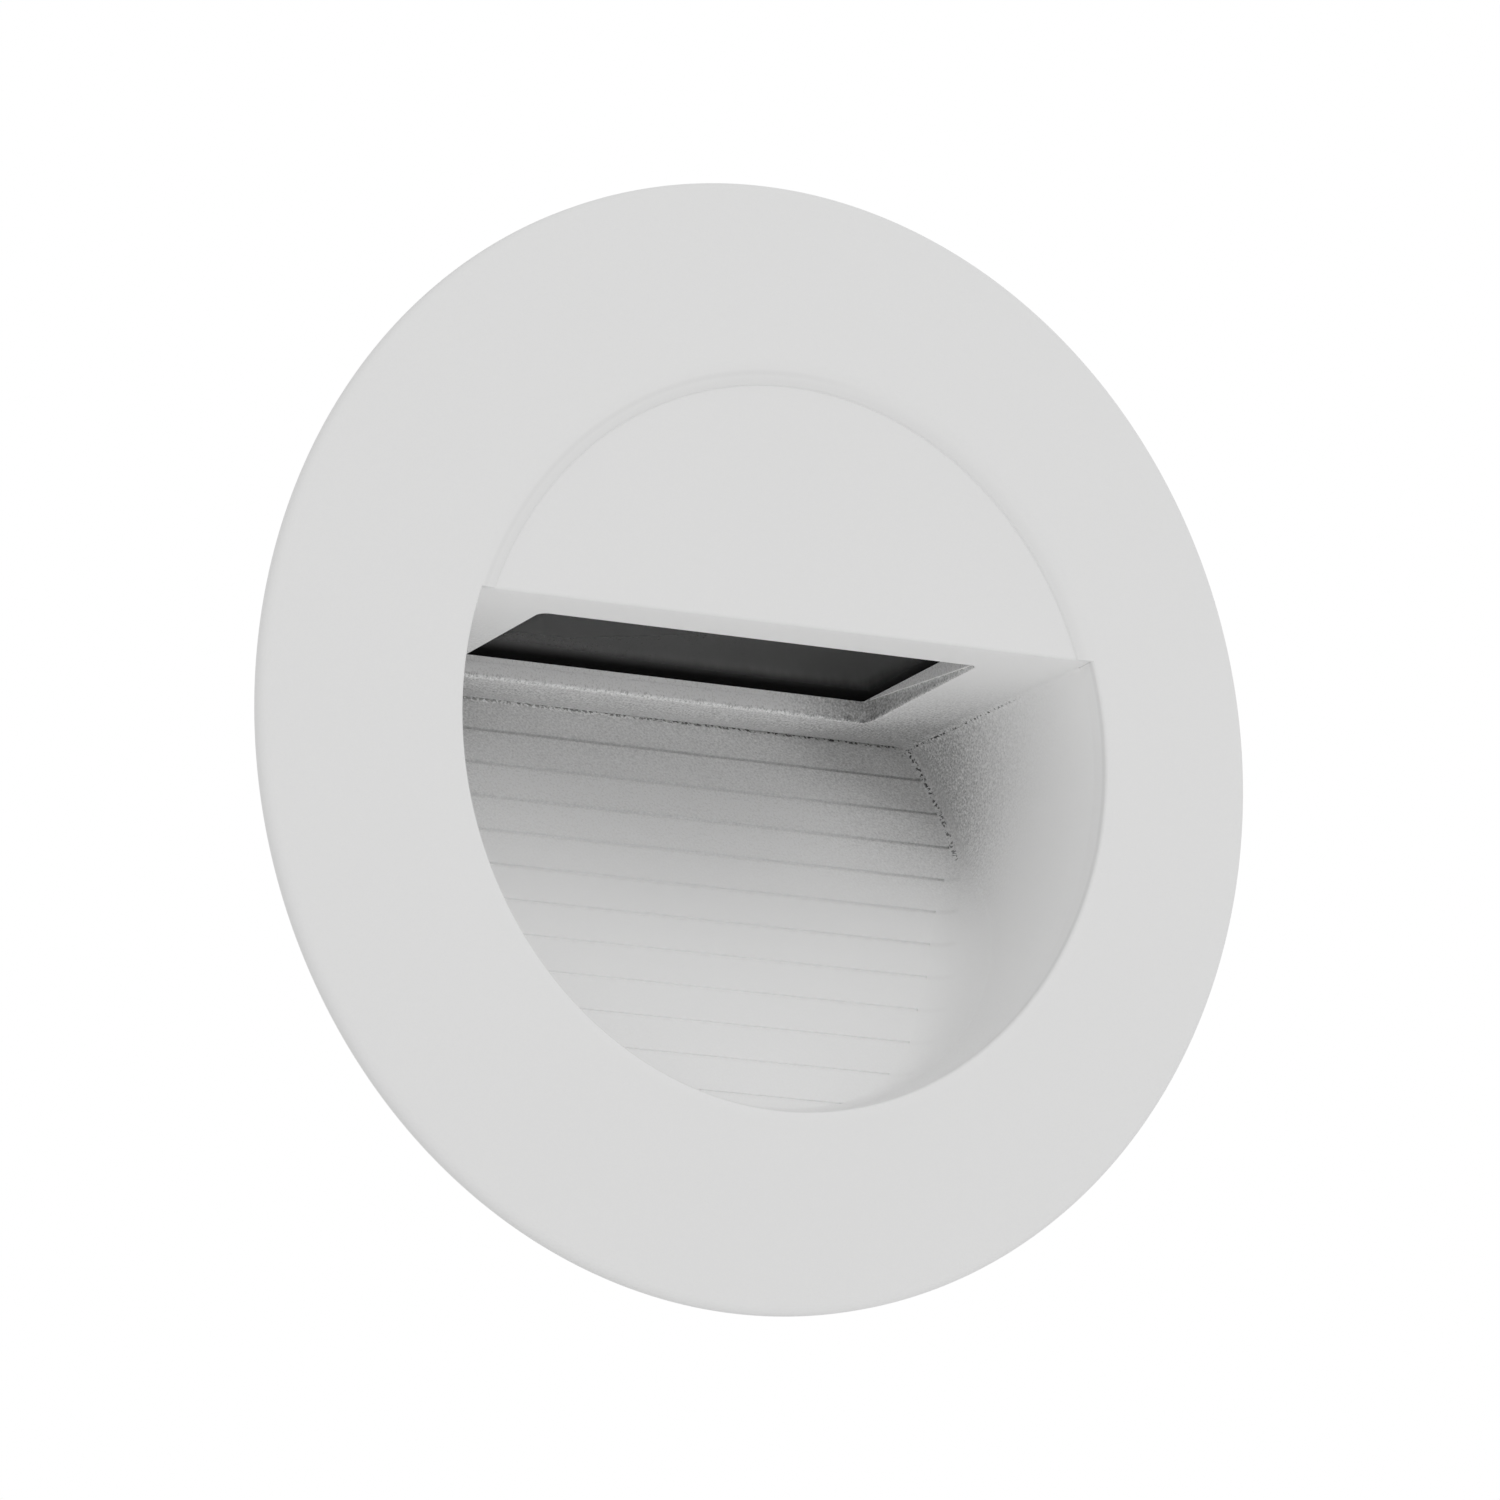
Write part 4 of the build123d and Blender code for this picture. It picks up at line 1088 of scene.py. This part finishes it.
def makeHousing():
    drum = lathe("housingShell", rounded([
        (0, housing["lipFront"], 0),
        (housing["lip"], housing["lipFront"], housing["lipRound"]),
        (housing["lip"], housing["lipBack"], housing["lipRound"]),
        (housing["root"], housing["lipBack"], housing["rootRound"]),
        (housing["endRadius"], housing["end"], housing["endRound"]),
        (0, housing["end"], 0),
    ]))
    outline = rounded([
        (side * housing["padHalf"], housing[key], housing["padCorner"])
        for side, key in ((-1, "padStart"), (1, "padStart"), (1, "padEnd"), (-1, "padEnd"))
    ])
    for side in (-1, 1):
        pad = prism("clipPad", [
            [(x, y, side * housing[key]) for x, y in outline] for key in ("padRoot", "padTop")
        ])
        softEdges(pad, housing["padRound"])
        carve(drum, pad, "UNION")
    front, back = housing["lipFront"] - past, housing["end"] + past
    space = lathe("housingSpace", [
        (0, front),
        (housing["bore"], front),
        (housing["bore"], 0),
        (housing["bore"] - housing["taper"] * back, back),
        (0, back),
    ], firstTool)
    carve(drum, space)
    start, end = housing["end"] - housing["bossLength"], housing["end"] - housing["bossGap"]
    for spot in screwSpots(housing["bossCircle"], 0):
        boss = disc("coverBoss", housing["boss"], start, end, thirdTool, housing["bossSegments"])
        carve(drum, moved(boss, spot.x, 0, spot.z), "UNION")
    smoothFaces(drum)
    dress(drum, "cast_aluminium", "housing")
    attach(drum, "light_body")
    print("housing:", len(drum.data.polygons), "faces")


makeHousing()


# rubber ring behind the bezel
wallSeal = {"inner": 53.0, "outer": 57.2, "depth": 1.4, "frontRound": 0.1, "round": 0.4, "smooth": 35}


def makeWallSeal():
    ring = lathe("wallSeal", rounded([
        (wallSeal["inner"], -wallSeal["depth"], wallSeal["frontRound"]),
        (wallSeal["outer"], -wallSeal["depth"], wallSeal["frontRound"]),
        (wallSeal["outer"], 0, wallSeal["round"]),
        (wallSeal["inner"], 0, wallSeal["round"]),
    ]))
    smoothFaces(ring, wallSeal["smooth"])
    dress(ring, "seal_rubber", "flange_seal")
    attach(ring, "light_body")
    print("wall seal:", len(ring.data.polygons), "faces")


makeWallSeal()


# rear cover: flat rim and the pod that holds the terminals
cover = {
    "radius": 39.14,
    "front": 32.879,
    "back": 35.879,
    "rimRound": 0.45,
    "frontRound": 0.15,
    "pod": 25.597,
    "podTop": 24.548,
    "podBack": 50.879,
    "podRound": 2.5,
    "rootRound": 0.9,
    "floor": 48.279,
    "floorRadius": 22.53,
    "bore": 23.607,
    "glandHeight": 11.515,
    "glandHole": 6.25,
    "holeSegments": 96,
}


def makeCover():
    lid = lathe("rearCover", rounded([
        (cover["bore"], cover["front"], 0),
        (cover["radius"], cover["front"], cover["frontRound"]),
        (cover["radius"], cover["back"], cover["rimRound"]),
        (cover["pod"], cover["back"], cover["rootRound"]),
        (cover["podTop"], cover["podBack"], cover["podRound"]),
        (0, cover["podBack"], 0),
        (0, cover["floor"], 0),
        (cover["floorRadius"], cover["floor"], 0),
    ]))
    start, end = cover["floor"] - past, cover["podBack"] + past
    hole = disc("glandHole", cover["glandHole"], start, end, firstTool, cover["holeSegments"])
    carve(lid, moved(hole, z=cover["glandHeight"]))
    smoothFaces(lid)
    dress(lid, "black_plastic", "rear_cover")
    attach(lid, "light_body")
    print("rear cover:", len(lid.data.polygons), "faces")


makeCover()


# cable gland: hexagon body on the pod, cap screwed over its spigot
gland = {
    "corner": 9.815,
    "bore": 4.0,
    "neck": 6.0,
    "neckStart": 43.479,
    "shoulder": 55.379,
    "spigot": 6.6,
    "spigotEnd": 59.879,
    "capStart": 55.679,
    "capHexEnd": 59.879,
    "capRadius": 8.2,
    "capSeat": 62.879,
    "capEnd": 65.379,
    "capRound": 2.0,
    "capGap": 0.05,
    "mouthDepth": 0.4,
    "mouthFlare": 0.45,
    "mouthPast": 0.05,
    "chamfer": 0.75,
    "chamferPast": 0.01,
    "chamferRoom": 0.1,
    "edgeRound": 0.3,
    "edgeSteps": 4,
    "endRound": 0.3,
    "hexSegments": 180,
    "boreSegments": 120,
    "smooth": 35,
}


def hexBar(name, start, end):
    # six flats, its corners turned off at both ends
    corner, cut = gland["corner"], gland["chamfer"]
    turns = [side * math.pi / 3 for side in range(6)]
    corners = [(corner * math.cos(turn), corner * math.sin(turn), gland["edgeRound"]) for turn in turns]
    outline = rounded(corners, gland["edgeSteps"])
    bar = prism(name, [[(x, depth, z) for x, z in outline] for depth in (start, end)])
    wide = corner + gland["chamferRoom"]
    first, last = start - gland["chamferPast"], end + gland["chamferPast"]
    chamfer = lathe("hexChamfer", [
        (0, first),
        (corner - cut, first),
        (wide, start + cut / 2),
        (wide, end - cut / 2),
        (corner - cut, last),
        (0, last),
    ], firstTool, gland["hexSegments"])
    carve(bar, chamfer, "INTERSECT")
    return bar


def makeGlandBody():
    body = hexBar("glandBody", cover["podBack"], gland["shoulder"])
    step = gland["shoulder"] - past
    spigot = lathe("glandSpigot", rounded([
        (0, gland["neckStart"], 0),
        (gland["neck"], gland["neckStart"], gland["endRound"]),
        (gland["neck"], step, 0),
        (gland["spigot"], step, 0),
        (gland["spigot"], gland["spigotEnd"], gland["endRound"]),
        (0, gland["spigotEnd"], 0),
    ]), secondTool, gland["boreSegments"])
    carve(body, spigot, "UNION")
    start, end = gland["neckStart"] - past, gland["spigotEnd"] + past
    carve(body, disc("glandBore", gland["bore"], start, end, thirdTool, gland["boreSegments"]))
    return body


def makeGlandCap():
    cap = hexBar("glandCap", gland["capStart"], gland["capHexEnd"])
    dome = lathe("capDome", rounded([
        (0, gland["capStart"] + past, 0),
        (gland["capRadius"], gland["capStart"] + past, 0),
        (gland["capRadius"], gland["capEnd"], gland["capRound"]),
        (0, gland["capEnd"], 0),
    ]), secondTool, gland["hexSegments"])
    carve(cap, dome, "UNION")
    wide, start = gland["spigot"] + gland["capGap"], gland["capStart"] - past
    mouthEnd = gland["capEnd"] + gland["mouthPast"]
    bore = lathe("capBore", [
        (0, start),
        (wide, start),
        (wide, gland["capSeat"]),
        (gland["bore"], gland["capSeat"]),
        (gland["bore"], gland["capEnd"] - gland["mouthDepth"]),
        (gland["bore"] + gland["mouthFlare"], mouthEnd),
        (0, mouthEnd),
    ], thirdTool, gland["boreSegments"])
    carve(cap, bore)
    return cap


def makeGland():
    body = makeGlandBody()
    cap = makeGlandCap()
    for piece, node in ((body, "gland_body"), (cap, "gland_cap")):
        smoothFaces(moved(piece, z=cover["glandHeight"]), gland["smooth"])
        dress(piece, "black_plastic", node)
        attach(piece, "light_body")
    print("gland:", len(body.data.polygons) + len(cap.data.polygons), "faces")


makeGland()


# screws that show on the back and on the clips
screwSizes = {
    "large": {"head": 2.7, "rise": 1.8, "shank": 1.45, "drive": 1.3, "slot": 0.56, "deep": 0.85},
    "small": {"head": 1.9, "rise": 1.3, "shank": 1.0, "drive": 0.95, "slot": 0.42, "deep": 0.65},
}
# the two rounds and what the drive's tool runs past in mm, the rest as shares of the screw's sizes
panHead = {
    "tipRound": 0.3,
    "rimRound": 0.1,
    "drivePast": 0.2,
    "side": 0.62,
    "sideRound": 0.3,
    "crown": 0.5,
    "crownRound": 0.5,
    "driveFoot": 0.6,
    "driveTop": 1.1,
    "segments": 72,
    "spin": math.pi / 2,  # a cross drive looks the same after it
}
screwRows = {
    "housing_screws": {"name": "housingScrews", "size": "large", "length": 3.733, "seed": 3},
    "cover_screws": {"name": "coverScrews", "size": "large", "length": 8.8, "seed": 8},
    "bracket_screws": {"name": "bracketScrews", "size": "small", "length": 2.76, "seed": 5},
}
screwPlaces = {"lipCircle": 46.6, "bracketAcross": 5.0, "bracketDepth": 11.3, "bracketHeight": 45.2}


def makeScrew(size, length):
    # pan head on the XY plane, cross drive, shank along -Z
    form = screwSizes[size]
    head, rise, shank = form["head"], form["rise"], form["shank"]
    screw = lathe("panScrew", rounded([
        (0, -length, 0),
        (shank, -length, panHead["tipRound"]),
        (shank, 0, 0),
        (head, 0, panHead["rimRound"]),
        (head, rise * panHead["side"], rise * panHead["sideRound"]),
        (head * panHead["crown"], rise, rise * panHead["crownRound"]),
        (0, rise, 0),
    ]), segments=panHead["segments"])
    screw.data.transform(Matrix.Rotation(math.pi / 2, 4, "X"))
    corners = ((-1, -1), (1, -1), (1, 1), (-1, 1))
    foot = (rise - form["deep"], panHead["driveFoot"])
    top = (rise + panHead["drivePast"], panHead["driveTop"])
    for turn in (0, math.pi / 2):
        slot = prism("driveSlot", [
            [(x * form["drive"] * wide, y * form["slot"] / 2 * wide, height) for x, y in corners]
            for height, wide in (foot, top)
        ])
        slot.data.transform(Matrix.Rotation(turn, 4, "Z"))
        carve(screw, slot)
    return screw


def growScrews(node, spots):
    # spots are (point, aim); each screw is turned about its aim by a seeded angle
    row = screwRows[node]
    seats = [(point, aim, (1, 1, 1)) for point, aim in spots]
    screw = makeScrew(row["size"], row["length"])
    screws = growPieces(row["name"], seats, screw, finishes[slots[node]], panHead["spin"], row["seed"])
    smoothFaces(screws)
    dress(screws, slots[node], node)
    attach(screws, "light_body")
    print("%s: %d faces" % (row["name"], len(screws.data.polygons)))


backward = Vector((0, 1, 0))
lipSpots = screwSpots(screwPlaces["lipCircle"], housing["lipBack"])
coverSpots = screwSpots(housing["bossCircle"], cover["back"])
bracketSpots = []
for side in (-1, 1):
    for x in (-screwPlaces["bracketAcross"], screwPlaces["bracketAcross"]):
        point = (x, screwPlaces["bracketDepth"], side * screwPlaces["bracketHeight"])
        bracketSpots.append((point, (0, 0, side)))
growScrews("housing_screws", [(spot, backward) for spot in lipSpots])
growScrews("cover_screws", [(spot, backward) for spot in coverSpots])
growScrews("bracket_screws", bracketSpots)


# white seat lip round the hood's window, and the gasket outside it
window = {
    "length": 53.2,
    "depth": 22.695,
    "corner": 0.8,
    "centre": 17.308,
    "lip": (1.7, 2.48),
    "lipGap": 0.02,
    "lipWidth": 0.8,
    "ledge": 0.3,
    "ledgeRoot": 0.1,
    "ledgeHeights": (0.3, 2.45),
    "gasket": (1.9, 2.5),
    "gasketGap": 0.9,
    "gasketWidth": 1.6,
}


def windowBlock(name, grow, heights):
    # a block with the window's outline, grown by a margin, between two heights over the underside
    a, b, corner = window["length"] / 2 + grow, window["depth"] / 2 + grow, window["corner"] + grow
    outline = rounded([(-a, -b, corner), (a, -b, corner), (a, b, corner), (-a, b, corner)])
    return prism(name, [
        [
            Vector((x, 0, 0)) + underPoint + shelfBack * (window["centre"] + y) + underNormal * height
            for x, y in outline
        ]
        for height in heights
    ])


def windowRing(name, inner, outer, start, end):
    ring = windowBlock(name, outer, (start, end))
    carve(ring, windowBlock("windowSpace", inner, (start - past, end + past)))
    return ring


def makeLedge(side):
    # thin wedge on the window's end wall: none at the rear, full height at the front
    front = window["centre"] - window["depth"] / 2 - window["ledgeRoot"]
    rear = window["centre"] + window["depth"] / 2
    low, high = window["ledgeHeights"]
    ends = []
    for x in (window["length"] / 2 - window["ledge"], window["length"] / 2 + window["ledgeRoot"]):
        ends.append([
            Vector((side * x, 0, 0)) + underPoint + shelfBack * along + underNormal * height
            for along, height in ((front, low), (rear, high), (front, high))
        ])
    return prism("windowLedge", ends)


def makeGasket():
    ring = windowRing("lensGasket", window["gasketGap"], window["gasketWidth"], *window["gasket"])
    smoothFaces(ring)
    dress(ring, "seal_rubber", "lens_gasket")
    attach(ring, "light_body")
    print("lens gasket:", len(ring.data.polygons), "faces")


def addWindowTrim(hood):
    addTo(hood, windowRing("windowLip", window["lipGap"], window["lipWidth"], *window["lip"]))
    for side in (-1, 1):
        addTo(hood, makeLedge(side))
    smoothFaces(hood, meshing["softSmooth"])


makeGasket()


# pieces that keep the CAD's own form: name, width of the edge rounds and body
softened = {
    "hood": ("hoodPlate", 0.1, "light_body"),
    "clip_top_bracket": ("topBracket", 0.15, "light_body"),
    "clip_bottom_bracket": ("bottomBracket", 0.15, "light_body"),
    "clip_top_pin": ("topPin", 0.2, "light_body"),
    "clip_bottom_pin": ("bottomPin", 0.2, "light_body"),
    "clip_top_arm": ("topArm", 0.15, "top_clip"),
    "clip_bottom_arm": ("bottomArm", 0.15, "bottom_clip"),
    "clip_top_sleeve": ("topSleeve", 0.3, "top_clip"),
    "clip_bottom_sleeve": ("bottomSleeve", 0.3, "bottom_clip"),
}

for node, (name, width, body) in softened.items():
    piece = softCopy(name, node, width)
    if node == "hood":
        addWindowTrim(piece)
    dress(piece, slots[node], node)
    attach(piece, body)
print("softened pieces:", len(softened))


# springs: foot hooked into the bracket, coil round the pin, leg along the arm
spring = {
    "wire": 0.4,
    "coil": 2.5,
    "pitch": 1.3,
    "pin": (21.97923, 48.4),
    "from": -90.0,  # degrees round the pin
    "to": 1522.78,
    "footRun": 5.508,
    "footBend": 0.9,
    "footEnd": 0.8,
    "footSteps": 12,
    "armRun": 10.983,
    "stepsPerTurn": 60,
    "roundness": 4,
    "weld": 1e-4,
    "smooth": 50,
}


def springPath():
    depth, height = spring["pin"]
    rise = spring["pitch"] / (2 * math.pi)
    start, end = (math.radians(spring[key]) for key in ("from", "to"))
    half = rise * (end - start) / 2
    steps = round((end - start) / (2 * math.pi) * spring["stepsPerTurn"])
    coil = []
    for step in range(steps + 1):
        turn = start + (end - start) * step / steps
        coil.append(Vector((
            rise * (turn - start) - half, depth + spring["coil"] * math.cos(turn),
            height + spring["coil"] * math.sin(turn),
        )))
    # ways in which the wire leaves the coil's two ends
    lead, trail = (
        Vector((rise, -spring["coil"] * math.sin(turn), spring["coil"] * math.cos(turn))).normalized()
        for turn in (start, end)
    )
    lead.negate()
    bendStart = coil[0] + lead * spring["footRun"]
    down = Vector((0, 0, -1))
    foot = []
    for step in range(spring["footSteps"] + 1):
        turn = math.pi / 2 * step / spring["footSteps"]
        ahead = lead * spring["footBend"] * math.sin(turn)
        drop = down * spring["footBend"] * (1 - math.cos(turn))
        foot.append(bendStart + ahead + drop)
    foot.append(foot[-1] + down * spring["footEnd"])
    leg = coil[-1] + trail * spring["armRun"]
    return foot[::-1] + coil + [leg], half


def makeSpring(name, node, turn):
    path, half = springPath()
    wire = bpy.data.curves.new(name, "CURVE")
    wire.dimensions = "3D"
    wire.bevel_depth = spring["wire"]
    wire.bevel_resolution = spring["roundness"]
    wire.use_fill_caps = True
    line = wire.splines.new("POLY")
    line.points.add(len(path) - 1)
    for point, place in zip(line.points, path):
        point.co = (*(turn @ place), 1)
    model = newPiece(name + "Wire", wire)
    bm = bmesh.new()
    bm.from_mesh(builtMesh(model))
    bmesh.ops.remove_doubles(bm, verts=bm.verts, dist=spring["weld"])
    bpy.data.objects.remove(model)
    piece = fromBmesh(name, bm)
    smoothFaces(piece, spring["smooth"])
    dress(piece, "spring_steel", node)
    ends = [turn @ Vector((side * half, *spring["pin"])) * mm for side in (-1, 1)]
    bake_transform(piece)
    print("%s: %d faces" % (name, len(piece.data.polygons)))


halfTurn = Matrix.Rotation(math.pi, 3, "Y")
makeSpring("topSpring", "clip_top_spring", Matrix.Identity(3))
makeSpring("bottomSpring", "clip_bottom_spring", halfTurn)

for node, slot in slots.items():
    nodes[node].data.materials.clear()
    nodes[node].data.materials.append(finishes[slot])
print("CAD nodes dressed")


# floor and soft white light
studio = {
    "floor": -0.2,
    "floorHalf": 3.0,
    "cloud": (0.08, 3, 0.5),
    "tones": (0.94, 0.96),
    "rough": 0.6,
    "roughSpread": 0.1,
    "sky": 0.782,
}


def makeStudio():
    half = studio["floorHalf"]
    mesh = bpy.data.meshes.new("paleFloor")
    corners = [(-half, -half), (half, -half), (half, half), (-half, half)]
    mesh.from_pydata([(x, y, studio["floor"]) for x, y in corners], [], [(0, 1, 2, 3)])
    floor = newPiece("paleFloor", mesh)
    finish, where, feed = startFinish("paleFloor")
    cloud = where.noise(*studio["cloud"])
    dark, light = (grey(tone) for tone in studio["tones"])
    feed(Base_Color=cloud.blend(dark, light), Roughness=studio["rough"] + cloud * studio["roughSpread"])
    mesh.materials.append(finish)
    world = bpy.data.worlds.new("softWhite")
    world.use_nodes = True
    tree = world.node_tree
    sky = tree.nodes["Background"]
    sky.inputs["Color"].default_value = grey(1.0)
    seen = Sock(tree, tree.nodes.new("ShaderNodeLightPath").outputs["Is Camera Ray"])
    strength = studio["sky"] + seen * (1 - studio["sky"])
    tree.links.new(strength.link, sky.inputs["Strength"])
    scene.world = world
    scene.view_settings.view_transform = "Standard"


makeStudio()
print("studio ready")
